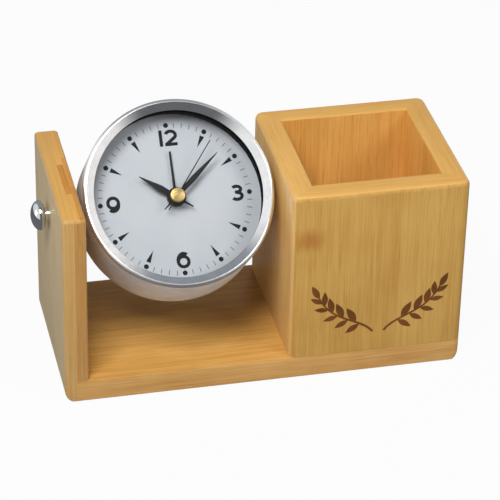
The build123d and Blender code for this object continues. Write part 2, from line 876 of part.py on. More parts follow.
# Rear cover with the battery bay
with BuildPart() as rear_cover:
    disc(cover_radius, cover_back, cover_top + skirt_height)
    disc(cover_radius - skirt_wall, cover_top, cover_top + skirt_height + overrun, mode=Mode.SUBTRACT)
    block(-bay_half, bay_half, bay_low - bay_wall, bay_high + bay_wall, cover_top, bay_front)
    block(-bay_inner, bay_inner, bay_low, bay_high, cover_back - overrun, bay_front + overrun, Mode.SUBTRACT)
    socket_x = bay_inner + door_pin_length
    rod(door_pin_radius + running_gap, -socket_x, socket_x, hinge_y, hinge_z, Mode.SUBTRACT)
    for x, y in post_spots:
        block(x - post_half, x + post_half, y - post_half, y + post_half, cover_top, board_back)
    for spot in pillar_spots:
        hole(screw_radius + fit_gap, cover_back, cover_top, spot)
    for spot in (set_spot, alarm_spot):
        hole(stem_radius + running_gap, cover_back, cover_top, spot)
    for step in range(sound_slots):
        slot_y = buzzer_spot[1] + (step - (sound_slots - 1) / 2) * slot_spacing
        block(
            buzzer_spot[0] - slot_length / 2,
            buzzer_spot[0] + slot_length / 2,
            slot_y - slot_width / 2,
            slot_y + slot_width / 2,
            cover_back - overrun,
            cover_top + overrun,
            Mode.SUBTRACT,
        )
    block(
        slider_x - slider_width / 2 - fit_gap,
        slider_x + slider_width / 2 + slider_travel + fit_gap,
        board_y - slider_depth / 2 - fit_gap,
        board_y + slider_depth / 2 + fit_gap,
        cover_back - overrun,
        cover_top + overrun,
        Mode.SUBTRACT,
    )
rear_cover.part.label = "rear_cover"
export_step(rear_cover.part, "parts/rear_cover.step")

# Battery door, hinged along its lower edge on two pins
with BuildPart() as battery_door:
    block(-door_half, door_half, hinge_y, bay_high - door_gap, cover_back, cover_top)
    rod(cover_thickness / 2, -door_half, door_half, hinge_y, hinge_z)
    rod(door_pin_radius, -door_half - door_pin_length, door_half + door_pin_length, hinge_y, hinge_z)
battery_door.part.label = "battery_door"
export_step(battery_door.part, "parts/battery_door.step")

# Battery, its nub against the positive contact
nub_tip = bay_inner - strip_thickness - contact_touch
battery_end = nub_tip - battery_length
with BuildPart() as battery:
    rod(battery_radius, battery_end, nub_tip - nub_length, battery_y, battery_z)
    chamfer(battery.edges().filter_by(GeomType.CIRCLE), battery_edge)
    rod(nub_radius, nub_tip - nub_length, nub_tip, battery_y, battery_z)
battery.part.label = "battery"
export_step(battery.part, "parts/battery.step")

# Contacts on the end walls of the bay
strip_low = battery_y - strip_half
strip_high = battery_y + strip_half
strip_back = battery_z - strip_half
strip_front = battery_z + strip_half
with BuildPart() as contact_positive:
    block(bay_inner - strip_thickness, bay_inner, strip_low, strip_high, strip_back, strip_front)
contact_positive.part.label = "contact_positive"
export_step(contact_positive.part, "parts/contact_positive.step")

with BuildPart() as contact_negative:
    block(-bay_inner, -bay_inner + strip_thickness, strip_low, strip_high, strip_back, strip_front)
    rod(spring_radius, -bay_inner, battery_end - contact_touch, battery_y, battery_z)
contact_negative.part.label = "contact_negative"
export_step(contact_negative.part, "parts/contact_negative.step")


# Setting knobs: a serrated knob outside the cover, a stem, and a pinion on a fine upper pivot
def set_knob(spot, teeth, module, low, turn):
    toothed(knob_teeth, knob_radius - knob_serration, knob_radius, knob_low, knob_top, spot, 0)
    disc(stem_radius, knob_top, low + gear_thickness, spot)
    gear(teeth, module, low, spot, turn)
    disc(stud_radius, low + gear_thickness, plate_top - fit_gap, spot)


with BuildPart() as time_set_knob:
    set_knob(set_spot, set_teeth, cannon_module, motion_layer, set_turn)
time_set_knob.part.label = "time_set_knob"
export_step(time_set_knob.part, "parts/time_set_knob.step")

with BuildPart() as alarm_set_knob:
    set_knob(alarm_spot, alarm_set_teeth, alarm_module, alarm_layer, alarm_set_turn)
alarm_set_knob.part.label = "alarm_set_knob"
export_step(alarm_set_knob.part, "parts/alarm_set_knob.step")

# Alarm slider in its slot
with BuildPart() as alarm_slider:
    block(
        slider_x - slider_width / 2,
        slider_x + slider_width / 2,
        board_y - slider_depth / 2,
        board_y + slider_depth / 2,
        cover_back - slider_rise,
        cover_top + fit_gap,
    )
    block(
        slider_x - slider_width / 2 - slider_flange,
        slider_x + slider_width / 2 + slider_flange,
        board_y - slider_depth / 2 - slider_flange,
        board_y + slider_depth / 2 + slider_flange,
        cover_top + fit_gap,
        cover_top + fit_gap + slider_plate,
    )
alarm_slider.part.label = "alarm_slider"
export_step(alarm_slider.part, "parts/alarm_slider.step")

# Four screws that hold the rear cover to the pillars
with BuildPart() as cover_screws:
    for spot in pillar_spots:
        disc(screw_head_radius, cover_back - screw_head_height, cover_back, spot)
        disc(screw_radius, cover_back, cover_top + screw_length - part_gap, spot)
cover_screws.part.label = "cover_screws"
export_step(cover_screws.part, "parts/cover_screws.step")
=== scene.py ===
import json
from math import atan2, cos, hypot, pi, radians, sin, sqrt, tan

import bmesh
import bpy
from mathutils import Matrix, Vector


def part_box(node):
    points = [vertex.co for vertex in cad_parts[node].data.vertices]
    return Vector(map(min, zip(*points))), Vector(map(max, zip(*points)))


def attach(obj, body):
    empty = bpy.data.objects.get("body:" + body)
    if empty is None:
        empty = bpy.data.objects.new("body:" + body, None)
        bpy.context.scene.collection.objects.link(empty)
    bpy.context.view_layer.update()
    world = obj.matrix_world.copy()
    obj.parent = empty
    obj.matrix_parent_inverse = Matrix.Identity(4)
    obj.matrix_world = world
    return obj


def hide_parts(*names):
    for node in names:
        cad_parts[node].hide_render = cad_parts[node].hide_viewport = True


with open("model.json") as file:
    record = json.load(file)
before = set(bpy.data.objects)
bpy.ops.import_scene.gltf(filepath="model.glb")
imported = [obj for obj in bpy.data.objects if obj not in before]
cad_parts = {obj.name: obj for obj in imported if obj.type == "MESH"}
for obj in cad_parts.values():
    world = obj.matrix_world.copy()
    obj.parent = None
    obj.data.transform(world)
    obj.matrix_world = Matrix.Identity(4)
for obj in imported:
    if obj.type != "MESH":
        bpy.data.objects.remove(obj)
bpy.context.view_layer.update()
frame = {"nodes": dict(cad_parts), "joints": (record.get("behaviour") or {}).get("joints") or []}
nodes = frame["nodes"]
joints = {joint["name"]: joint for joint in frame["joints"]}

mm = 0.001
fullTurn = 2 * pi
quarterTurn = pi / 2
tiny = 0.01  # places this close, in mm, count as one
weld = 0.0005  # points this close, in mm, are joined
origin = (0, 0, 0)
white = (1, 1, 1, 1)

# the clock's own axes: x to the right, y up the dial, z out through the glass
pivot = Vector(joints["clock_tilt"]["pos_m"])
dialNormal = -Vector(joints["second_turn"]["axis"]).normalized()
acrossDial = Vector((1, 0, 0))
upDial = dialNormal.cross(acrossDial)
clockTurn = Matrix((acrossDial, upDial, dialNormal)).transposed().to_4x4()
clockPlace = Matrix.Translation(pivot / mm) @ clockTurn
toClock = (Matrix.Translation(pivot) @ clockTurn).inverted()


def cornersOf(points):
    return [Vector(pick(p[i] for p in points) for i in range(3)) for pick in (min, max)]


def boxOf(*names):  # corners of one or more nodes, in mm
    return cornersOf([[c / mm for c in corner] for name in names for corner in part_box(name)])


def pointsOf(name):  # a node's points in the clock's axes, in mm
    return [toClock @ v.co / mm for v in nodes[name].data.vertices]


def spanOf(name):  # a node's corners in the clock's axes, and its widest and narrowest reach
    points = pointsOf(name)
    reach = [hypot(p.x, p.y) for p in points]
    return *cornersOf(points), max(reach), min(reach)


def tint(code):  # colour as a painter writes it, made linear by the usual screen curve
    parts = [int(code[i:i + 2], 16) / 255 for i in (0, 2, 4)]
    return tuple(c / 12.92 if c <= 0.04045 else ((c + 0.055) / 1.055) ** 2.4 for c in parts) + (1.0,)


def shades(light, dark, **others):  # a look: two colours and the other values of its group
    return {"light": tint(light), "dark": tint(dark), **others}


# node helpers
def socketName(key):  # stripWidth stands for Strip Width
    return "".join(" " + c if c.isupper() else c for c in key).title()


def isLink(value):
    return isinstance(value, bpy.types.NodeSocket)


def source(tree, kind):  # what a node without inputs gives
    return tree.nodes.new("ShaderNode" + kind).outputs


def addNode(kind, settings=None, **inputs):  # gives its outputs, and an input i2 is the third socket
    tree = next(value.id_data for value in inputs.values() if isLink(value))  # the tree of its links
    node = tree.nodes.new("ShaderNode" + kind)
    for key, value in (settings or {}).items():
        setattr(node, key, value)
    for key, value in inputs.items():
        socket = node.inputs[int(key[1:]) if key[1:].isdigit() else socketName(key)]
        if isLink(value):
            tree.links.new(value, socket)
        else:
            socket.default_value = value
    return node.outputs


def sums(operation, first, second=0.0, third=0.0):
    return addNode("Math", {"operation": operation}, i0=first, i1=second, i2=third)[0]


def swing(value, amount, base):  # adds how far a value is from a half
    return sums("MULTIPLY_ADD", sums("SUBTRACT", value, 0.5), amount, base)


def ramp(value, low, high):  # 0 below low, 1 above high, eased between
    settings = {"interpolation_type": "SMOOTHSTEP"}
    return addNode("MapRange", settings, value=value, fromMin=low, fromMax=high)["Result"]


def blendColour(factor, first, second):
    settings = {"data_type": "RGBA", "blend_type": "MIX", "clamp_factor": True}
    return addNode("Mix", settings, i0=factor, i6=first, i7=second)[2]


def noise(vector, scale, detail, roughness):
    return addNode("TexNoise", {"noise_dimensions": "3D"}, vector=vector, scale=scale, detail=detail,
                   roughness=roughness)["Fac"]


def scatter(value):  # a random value that is the same for the same number
    return addNode("TexWhiteNoise", {"noise_dimensions": "1D"}, w=value)["Value"]


groupOutputs = {"Color": "Color", "Roughness": "Float", "Height": "Float"}


def startGroup(name, **inputs):
    group = bpy.data.node_groups.new(name, "ShaderNodeTree")

    def addSocket(label, way, kind):
        return group.interface.new_socket(name=label, in_out=way, socket_type="NodeSocket" + kind)

    for key, value in inputs.items():
        kind = {3: "Vector", 4: "Color"}[len(value)] if isinstance(value, tuple) else "Float"
        addSocket(socketName(key), "INPUT", kind).default_value = value
    for label, kind in groupOutputs.items():
        addSocket(label, "OUTPUT", kind)
    return group, group.nodes.new("NodeGroupInput").outputs, group.nodes.new("NodeGroupOutput").inputs


def endGroup(group, result, *values):
    for label, value in zip(groupOutputs, values):
        group.links.new(value, result[label])
    return group


def startMaterial(name, constants):
    material = bpy.data.materials.new(name)
    material.use_nodes = True
    shader = material.node_tree.nodes["Principled BSDF"]
    for key, value in constants.items():
        shader.inputs[key].default_value = value
    return material, material.node_tree, shader


def groupFinish(name, group, look, bump, axes, constants):  # axes turn and move the pattern
    material, tree, shader = startMaterial(name, constants)
    spot = source(tree, "TexCoord")["Object"]
    if axes:
        spot = addNode("Mapping", vector=spot, rotation=axes[0], location=axes[1])[0]
    given = addNode("Group", {"node_tree": group}, vector=spot, **look)
    normal = addNode("Bump", height=given["Height"], strength=bump[0], distance=bump[1])[0]
    links = {"Base Color": given["Color"], "Roughness": given["Roughness"], "Normal": normal}
    for label, value in links.items():
        tree.links.new(value, shader.inputs[label])
    return material


def mixShaders(tree, factor, first, second, output):
    mix = addNode("MixShader", i0=factor, i1=first, i2=second)[0]
    tree.links.new(mix, tree.nodes[output].inputs["Surface"])


# bamboo: strips glued side by side, grain along the pattern's z
bamboo = {
    "layerStep": 57.0, "blockStep": 13.7, "slide": 0.31,  # keep strips and blocks from looking alike
    "fineDraw": 0.022, "wideDraw": 0.05,  # how far fibres are drawn out along the grain
    "fine": (2600.0, 2.0, 0.65), "thread": (1150.0, 2.0, 0.6),  # noises as scale, detail and roughness
    "wide": (420.0, 3.0, 0.55), "cloud": (34.0, 2.0, 0.5),
    "threadShare": 1.1, "wideShare": 0.55, "cloudShare": 0.8, "fibre": (0.55, 0.72),
    "smear": tint("A8621F"), "smearRagged": 1.2, "smearFade": (0.2, 1.0),
    "roughLow": 0.32, "roughSpread": 0.22, "fineHeight": 0.5,
    "bump": (0.25, 0.0002), "specular": 0.25, "coat": 0.08, "coatRough": 0.3,
    "turns": {"x": (0, -quarterTurn, 0), "y": (quarterTurn, 0, 0), "z": origin},  # bring the grain to z
}


def makeBambooGroup():
    group, given, result = startGroup(
        "bambooGrain", vector=origin, stripWidth=0.019, blockLength=500.0, stripContrast=0.5,
        light=tint("DDB06C"), dark=tint("B98443"), streak=tint("8A5524"), streakAmount=0.5, smearPlace=origin,
        smearSize=(0.01, 0.01, 0.01), smear=0.0)
    split = addNode("SeparateXYZ", vector=given["Vector"])
    column = sums("FLOOR", sums("DIVIDE", split[0], given["Strip Width"]))
    layer = sums("FLOOR", sums("DIVIDE", split[1], given["Strip Width"]))
    strip = sums("MULTIPLY_ADD", layer, bamboo["layerStep"], column)
    shifted = sums("DIVIDE", split[2], given["Block Length"])
    shifted = sums("ADD", shifted, scatter(strip))
    block = sums("MULTIPLY_ADD", sums("FLOOR", shifted), bamboo["blockStep"], strip)
    tone = scatter(block)
    along = sums("ADD", split[2], sums("MULTIPLY", tone, bamboo["slide"]))

    def drawn(share):
        length = sums("MULTIPLY", along, share)
        return addNode("CombineXYZ", x=split[0], y=split[1], z=length)[0]

    fineSpot = drawn(bamboo["fineDraw"])
    fine = noise(fineSpot, *bamboo["fine"])
    thread = noise(fineSpot, *bamboo["thread"])
    wide = noise(drawn(bamboo["wideDraw"]), *bamboo["wide"])
    cloud = noise(given["Vector"], *bamboo["cloud"])
    shade = swing(tone, given["Strip Contrast"], 0.5)
    shade = swing(thread, bamboo["threadShare"], shade)
    shade = swing(wide, bamboo["wideShare"], shade)
    shade = swing(cloud, bamboo["cloudShare"], shade)
    colour = blendColour(shade, given["Light"], given["Dark"])
    fibre = sums("MULTIPLY", ramp(fine, *bamboo["fibre"]), given["Streak Amount"])
    colour = blendColour(fibre, colour, given["Streak"])
    away = given["Vector"]
    for operation, other in (("SUBTRACT", given["Smear Place"]), ("DIVIDE", given["Smear Size"])):
        away = addNode("VectorMath", {"operation": operation}, i0=away, i1=other)[0]
    reach = addNode("VectorMath", {"operation": "LENGTH"}, i0=away)["Value"]
    clean = ramp(swing(wide, bamboo["smearRagged"], reach), *bamboo["smearFade"])
    spot = sums("MULTIPLY", sums("SUBTRACT", 1.0, clean), given["Smear"])
    colour = blendColour(spot, colour, bamboo["smear"])
    rough = sums("MULTIPLY_ADD", wide, bamboo["roughSpread"], bamboo["roughLow"])
    height = sums("MULTIPLY_ADD", fine, bamboo["fineHeight"], wide)
    return endGroup(group, result, colour, rough, height)


bambooGroup = makeBambooGroup()


def strips(light, dark, width, contrast, streak, **others):  # a look of bamboo
    return shades(light, dark, stripWidth=width, stripContrast=contrast, streakAmount=streak, **others)


def bambooFinish(name, grain, look, specular=bamboo["specular"]):
    constants = {"Specular IOR Level": specular, "Coat Weight": bamboo["coat"],
                 "Coat Roughness": bamboo["coatRough"]}
    return groupFinish(name, bambooGroup, look, bamboo["bump"], (bamboo["turns"][grain], origin), constants)


# metal: turned or brushed, with fine lines and a little tarnish
paleGrey, midGrey = (0.8, 0.8, 0.8, 1), (0.6, 0.6, 0.6, 1)
fineDepth = 0.0001  # depth of the bump on metal and plastic, in metres
metal = {"lineScale": 1.0, "lineDetail": 2.0, "haze": (160.0, 3.0, 0.6), "mark": (900.0, 2.0, 0.6),
         "hazeFade": (0.3, 0.7), "hazeShare": 0.6, "lineShare": 0.4, "bump": 0.08}


def makeMetalGroup():
    group, given, result = startGroup(
        "metalLines", vector=origin, light=paleGrey, dark=midGrey, ringPitch=0.0004, ringShare=1.0,
        roughLow=0.2, roughSpread=0.15)
    split = addNode("SeparateXYZ", vector=given["Vector"])
    square = sums("MULTIPLY_ADD", split[0], split[0], sums("MULTIPLY", split[1], split[1]))
    radius = sums("ADD", sums("SQRT", square), split[2])
    turns = sums("DIVIDE", radius, given["Ring Pitch"])
    line = addNode("TexNoise", {"noise_dimensions": "1D"}, w=turns, scale=metal["lineScale"],
                   detail=metal["lineDetail"])["Fac"]
    haze = noise(given["Vector"], *metal["haze"])
    mark = noise(given["Vector"], *metal["mark"])
    mixed = addNode("Mix", {"data_type": "FLOAT"}, i0=given["Ring Share"], i2=mark, i3=line)[0]
    colour = blendColour(ramp(haze, *metal["hazeFade"]), given["Light"], given["Dark"])
    rough = sums("MULTIPLY", mixed, metal["lineShare"])
    rough = sums("MULTIPLY_ADD", haze, metal["hazeShare"], rough)
    rough = sums("MULTIPLY_ADD", rough, given["Rough Spread"], given["Rough Low"])
    return endGroup(group, result, colour, rough, mixed)


metalGroup = makeMetalGroup()
clockAxes = (toClock.to_euler(), toClock.to_translation())
plainAxes = (origin, origin)


def metalFinish(name, look, axes=plainAxes, bump=metal["bump"], metallic=1.0):
    return groupFinish(name, metalGroup, look, (bump, fineDepth), axes, {"Metallic": metallic})


# plastic, rubber, card and paint: fine moulded grain
mould = {"grain": (3.0, 0.6), "cloud": (70.0, 3.0, 0.55), "grainShare": 0.5, "fade": (0.25, 0.75),
         "bump": 0.12, "specular": 0.5}


def makeGrainGroup():
    group, given, result = startGroup("mouldGrain", vector=origin, light=paleGrey, dark=midGrey,
                                      grainScale=2600.0, roughLow=0.35, roughSpread=0.2)
    grain = noise(given["Vector"], given["Grain Scale"], *mould["grain"])
    cloud = noise(given["Vector"], *mould["cloud"])
    shade = ramp(swing(grain, mould["grainShare"], cloud), *mould["fade"])
    colour = blendColour(shade, given["Light"], given["Dark"])
    rough = sums("MULTIPLY_ADD", grain, given["Rough Spread"], given["Rough Low"])
    return endGroup(group, result, colour, rough, grain)


grainGroup = makeGrainGroup()


def grainFinish(name, look, bump=mould["bump"], specular=mould["specular"]):
    return groupFinish(name, grainGroup, look, (bump, fineDepth), None, {"Specular IOR Level": specular})


# mesh helpers, all in mm
def meshOf(bm, name):
    mesh = bpy.data.meshes.new(name)
    bm.to_mesh(mesh)
    bm.free()
    return mesh


def intoScene(name, data):
    thing = bpy.data.objects.new(name, data)
    bpy.context.scene.collection.objects.link(thing)
    return thing


def finishPiece(bm, name, body, materials, replaced=(), place=None, sharp=32.0):
    bmesh.ops.transform(bm, matrix=Matrix.Scale(mm, 4) @ (place or Matrix.Identity(4)), verts=bm.verts)
    bmesh.ops.recalc_face_normals(bm, faces=bm.faces)
    mesh = meshOf(bm, name)
    for material in materials:
        mesh.materials.append(material)
    mesh.shade_smooth()
    mesh.set_sharp_from_angle(angle=radians(sharp))
    piece = intoScene(name, mesh)
    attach(piece, body)
    if replaced:
        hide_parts(*replaced)


def near(a, b):
    return abs(a - b) < tiny


def bothAt(a, b, axis, value):  # an edge's two ends lie at one place on an axis
    return near(a[axis], value) and near(b[axis], value)


def standing(a, b):  # an edge is upright
    return near(a.x, b.x) and near(a.y, b.y)


def rotated(x, y, angle):
    return x * cos(angle) - y * sin(angle), x * sin(angle) + y * cos(angle)


def allOf(bm):
    return bm.verts[:] + bm.edges[:] + bm.faces[:]


def vertsOf(geometry):
    return [item for item in geometry if isinstance(item, bmesh.types.BMVert)]


def edgesOf(geometry):
    return [item for item in geometry if isinstance(item, bmesh.types.BMEdge)]


def added(bm, operator, **settings):  # runs an operator and gives the faces it adds
    before = set(bm.faces)
    operator(bm, **settings)
    return [face for face in bm.faces if face not in before]


def block(low, high):
    bm = bmesh.new()
    size = Matrix.Diagonal((high - low).to_4d())
    bmesh.ops.create_cube(bm, size=1.0, matrix=Matrix.Translation((low + high) / 2) @ size)
    return bm


def roundEdges(bm, test, rounding):  # a rounding is a radius and its steps
    edges = [e for e in bm.edges if test(e.verts[0].co, e.verts[1].co)]
    bmesh.ops.bevel(bm, geom=edges, offset=rounding[0], offset_type="OFFSET", affect="EDGES",
                    segments=rounding[1], profile=0.5, material=-1, clamp_overlap=True)


def gather(whole, part, place=None):  # moves a shape into a piece of several
    if place:
        bmesh.ops.transform(part, matrix=place, verts=part.verts)
    mesh = meshOf(part, "shape")
    whole.from_mesh(mesh)
    bpy.data.meshes.remove(mesh)


def arc(centre, wide, start, end, steps, tall=None):  # points on a round or an ellipse, angles in degrees
    turns = [radians(start + (end - start) * i / steps) for i in range(steps + 1)]
    return [(centre[0] + wide * cos(t), centre[1] + (tall or wide) * sin(t)) for t in turns]


def turned(profile, steps, closed=False):  # profile of (radius, height) swept about z
    bm = bmesh.new()
    verts = [bm.verts.new((r, 0, z)) for r, z in profile]
    edges = [bm.edges.new(pair) for pair in zip(verts, verts[1:] + verts[:1] * closed)]
    bmesh.ops.spin(bm, geom=verts + edges, cent=origin, axis=(0, 0, 1), angle=fullTurn, steps=steps,
                   use_merge=True)
    bmesh.ops.remove_doubles(bm, verts=bm.verts, dist=weld)
    return bm


def extrude(bm, faces, move):  # flat shapes get a body
    grown = bmesh.ops.extrude_face_region(bm, geom=faces)["geom"]
    bmesh.ops.translate(bm, vec=move, verts=vertsOf(grown))


def outline(bm, points, z=0.0):
    return bm.faces.new([bm.verts.new((x, y, z)) for x, y in points])


def strokeAlong(bm, points, z, width):  # a flat band of even width along a line of points
    spots = [Vector(p) for p in points]
    rails = []
    for i, spot in enumerate(spots):
        run = (spots[min(i + 1, len(spots) - 1)] - spots[max(i - 1, 0)]).normalized()
        across = Vector((-run.y, run.x)) * width / 2
        rails.append([bm.verts.new((*side, z)) for side in (spot - across, spot + across)])
    return [bm.faces.new((a[0], b[0], b[1], a[1])) for a, b in zip(rails, rails[1:])]


# bamboo boards
baseLow, baseHigh = boxOf("base_board")
uprightLow, uprightHigh = boxOf("left_upright")
holderLow, holderHigh = boxOf("holder_front", "holder_right", "holder_back", "holder_left")
standFoot = {"endRound": 4.8, "edgeRound": 0.6, "steps": 6, "weld": 0.001}


def roundFoot(bm, low, high, outward):  # rounds the underside of one end, and a little of front and back
    sizes = (standFoot["endRound"], standFoot["edgeRound"])
    for size in sizes:
        for i in range(1, standFoot["steps"] + 1):
            level = low.z + size * (1 - cos(quarterTurn * i / standFoot["steps"]))
            bmesh.ops.bisect_plane(bm, geom=allOf(bm), plane_co=(0, 0, level), plane_no=(0, 0, 1))
    for v in bm.verts:
        depths = [min(size, max(0.0, low.z + size - v.co.z)) for size in sizes]
        end, edge = (size - sqrt(size * size - depth * depth) for size, depth in zip(sizes, depths))
        v.co.x = min(v.co.x, high.x - end) if outward > 0 else max(v.co.x, low.x + end)
        v.co.y = min(max(v.co.y, low.y + edge), high.y - edge)
    bmesh.ops.remove_doubles(bm, verts=bm.verts, dist=standFoot["weld"])
    bmesh.ops.dissolve_degenerate(bm, edges=bm.edges, dist=standFoot["weld"])


baseBoard = {
    "corner": (3.5, 6), "seam": (0.4, 2), "topFacing": 0.7, "specular": 0.1,
    "grains": [
        ("bambooBase", strips("E2B063", "BA863F", 0.0125, 0.35, 0.35)),
        ("bambooBaseFront", strips("E0B473", "BE8D4E", 0.0125, 0.25, 0.3)),
    ],
}


def makeBaseBoard():
    bm = block(baseLow, baseHigh)
    roundEdges(bm, lambda a, b: bothAt(a, b, 0, baseHigh.x) and not near(a.z, b.z), baseBoard["corner"])
    seamEnd = baseLow.x + tiny
    roundEdges(bm, lambda a, b: bothAt(a, b, 2, baseHigh.z) and max(a.x, b.x) > seamEnd, baseBoard["seam"])
    roundFoot(bm, baseLow, baseHigh, 1)
    for face in bm.faces:
        face.material_index = int(abs(face.normal.z) < baseBoard["topFacing"])
    finishes = [bambooFinish(name, "x", look, baseBoard["specular"]) for name, look in baseBoard["grains"]]
    finishPiece(bm, "baseBoard", "stand", finishes, ["base_board"])


leftUpright = {
    "corner": (1.5, 4), "top": (1.4, 3), "topFacing": 0.8, "sideFacing": 0.9, "sideSheenGrain": 4,
    "grains": [  # name, way of the grain, look: front and back in two halves, top in two halves, outer side paler and greyer as painted sheen
        ("bambooUprightOuter", "z", strips("D1AA6E", "BA9050", 0.03, 0.2, 0.25)),
        ("bambooUprightInner", "z", strips("CFA463", "AD783D", 0.0025, 0.6, 0.4)),
        ("bambooTopOuter", "y", strips("DDAE66", "C9974C", 0.02, 0.2, 0.2)),
        ("bambooTopInner", "y", strips("DDAA5B", "BC7C33", 0.0025, 1.1, 0.3, blockLength=0.024)),
        ("bambooUprightSideSheen", "z", strips("D3BF98", "C0A87F", 0.03, 0.2, 0.25)),
    ],
}


def makeLeftUpright():
    bm = bmesh.new()
    rabbet = [(uprightLow.x, uprightLow.z), (baseLow.x, uprightLow.z), (baseLow.x, baseHigh.z),
              (uprightHigh.x, baseHigh.z), (uprightHigh.x, uprightHigh.z), (uprightLow.x, uprightHigh.z)]
    front = bm.faces.new([bm.verts.new((x, uprightLow.y, z)) for x, z in rabbet])
    extrude(bm, [front], (0, uprightHigh.y - uprightLow.y, 0))
    bmesh.ops.recalc_face_normals(bm, faces=bm.faces)
    roundEdges(bm, lambda a, b: standing(a, b) and not near(a.x, baseLow.x), leftUpright["corner"])
    roundEdges(bm, lambda a, b: bothAt(a, b, 2, uprightHigh.z), leftUpright["top"])
    glueLine = (baseLow.x, 0, 0)  # between the two halves
    bmesh.ops.bisect_plane(bm, geom=allOf(bm), plane_co=glueLine, plane_no=(1, 0, 0))
    roundFoot(bm, uprightLow, uprightHigh, -1)
    for face in bm.faces:
        onTop = face.normal.z > leftUpright["topFacing"]
        face.material_index = int(face.calc_center_median().x > baseLow.x) + 2 * int(onTop)
        # the outer side takes the paler grey look: painted sheen standing in for the light this face catches
        if face.normal.x < -leftUpright["sideFacing"]:
            face.material_index = leftUpright["sideSheenGrain"]
    finishes = [bambooFinish(*grain) for grain in leftUpright["grains"]]
    finishPiece(bm, "leftUpright", "stand", finishes, ["left_upright"])


penHolder = {
    "corner": (3.5, 6), "top": (2.3, 4), "mouth": (1.0, 3), "rimFacing": 0.7, "insideFacing": 0.9,
    "insideSpecular": 0.1,
    "walls": ["front", "right", "back", "left"],  # each a quarter turn on from the one before
    "grain": strips("D6AD60", "BC8B41", 0.0187, 0.25, 0.3),
    # the inside walls are lighter and more saturated than the outside: painted light, standing in for light
    # bounced around inside the holder
    "paintedLightInsideGrain": strips("EAB463", "D09444", 0.0187, 0.3, 0.35),
    "rimGrain": strips("E8B86C", "D39F50", 0.0052, 0.3, 0.2),
    "own": {  # what a wall has of its own: the left one paler, a painted sheen on its outer side; the front one a brown joint of the cane
        "left": shades("F0C885", "D9A860"),
        "front": {"smearPlace": (0.0172, -0.0375, 0.0674), "smearSize": (0.0082, 0.02, 0.008),
                  "smear": 0.65},
    },
    # the right inside wall lighter still: painted light on its shaded face
    "morePaintedLightInside": {"right": shades("F6BE68", "DE9F4A")},
}


def makeHolderWall(turn, side):
    middle = (holderLow + holderHigh) / 2
    half = (holderHigh - holderLow) / 2
    frontLow, frontHigh = boxOf("holder_front")
    thick = frontHigh.y - frontLow.y
    bm = block(-half, half)
    roundEdges(bm, standing, penHolder["corner"])
    mouth = thick - half.y
    inner = half.x - thick
    cuts = [((0, mouth, 0), (0, 1, 0)), ((-inner, mouth, 0), (-1, 1, 0)), ((inner, mouth, 0), (1, 1, 0))]
    for spot, normal in cuts:  # the cavity's face, then the two mitres
        cut = bmesh.ops.bisect_plane(bm, geom=allOf(bm), plane_co=spot, plane_no=normal, clear_outer=True)
        bmesh.ops.edgeloop_fill(bm, edges=edgesOf(cut["geom_cut"]))
    bmesh.ops.recalc_face_normals(bm, faces=bm.faces)
    bmesh.ops.dissolve_degenerate(bm, edges=bm.edges, dist=weld)

    def onTop(a, b):
        return min(a.z, b.z) > half.z - tiny

    def outerTop(a, b):
        mitre = all(near(abs(p.x) - inner, mouth - p.y) for p in (a, b))
        return onTop(a, b) and not bothAt(a, b, 1, mouth) and not mitre

    roundEdges(bm, outerTop, penHolder["top"])
    roundEdges(bm, lambda a, b: onTop(a, b) and bothAt(a, b, 1, mouth), penHolder["mouth"])
    for face in bm.faces:
        onRim = face.normal.z > penHolder["rimFacing"]
        face.material_index = 1 if onRim else 2 * int(face.normal.y > penHolder["insideFacing"])
    look = {**penHolder["grain"], **penHolder["own"].get(side, {})}
    inside = {**penHolder["paintedLightInsideGrain"], **penHolder["morePaintedLightInside"].get(side, {})}
    finishes = [bambooFinish("bamboo_" + side, "z", look),
                bambooFinish("bambooRim_" + side, "xy"[turn % 2], penHolder["rimGrain"]),
                bambooFinish("bambooInsidePaintedLight_" + side, "z", inside, penHolder["insideSpecular"])]
    place = Matrix.Translation(middle) @ Matrix.Rotation(turn * quarterTurn, 4, "Z")
    finishPiece(bm, "holder_" + side + "_wall", "stand", finishes, ["holder_" + side], place)


makeBaseBoard()
makeLeftUpright()
for wallTurn, wallSide in enumerate(penHolder["walls"]):
    makeHolderWall(wallTurn, wallSide)
print("bamboo boards done")

# laurel sprigs burnt into the holder's front
laurel = {
    "middle": 0.65, "stem": [(2.4, 9.3), (8.0, 17.0), (20.2, 15.4), (26.2, 28.9)],  # foot, two handles, tip
    "stemFoot": 1.1, "stemTip": 0.7, "stemSteps": 20,
    "leafSteps": 10, "leafWidthShare": 0.38, "leafPower": 0.9, "stalk": 0.3,
    "leaves": [  # place on the stem, heading in degrees, length
        (0.27, -34, 7.2), (0.46, -30, 6.7), (0.63, -16, 6.4), (0.79, 8, 6.1), (0.91, 31, 6.0),
        (0.33, 60, 8.5), (0.54, 66, 8.2), (0.72, 77, 7.6), (0.87, 89, 6.8), (0.98, 63, 7.4),
    ],
    "thickness": 0.06, "sunk": 0.03, "lift": 0.004, "mirrorGap": 0.0001,
    "finish": (shades("7F4C1E", "5F3612", grainScale=1500.0, roughLow=0.55), 0.2, 0.25),
}


def onStem(t):  # point and heading on the stem's curve
    a, b, c, d = (Vector(point) for point in laurel["stem"])
    u = 1 - t
    point = a * u ** 3 + b * 3 * t * u ** 2 + c * 3 * u * t ** 2 + d * t ** 3
    slope = (b - a) * u ** 2 + (c - b) * 2 * t * u + (d - c) * t ** 2
    return point, atan2(slope.y, slope.x)


def leafOutline(foot, angle, length):
    half = length * laurel["leafWidthShare"] / 2
    sweep = [i / laurel["leafSteps"] for i in range(laurel["leafSteps"] + 1)]
    upper = [(length * t + laurel["stalk"], half * sin(pi * t ** laurel["leafPower"])) for t in sweep]
    lower = [(x, -y) for x, y in reversed(upper[1:-1])]
    return [foot + Vector(rotated(x, y, angle)) for x, y in upper + lower]


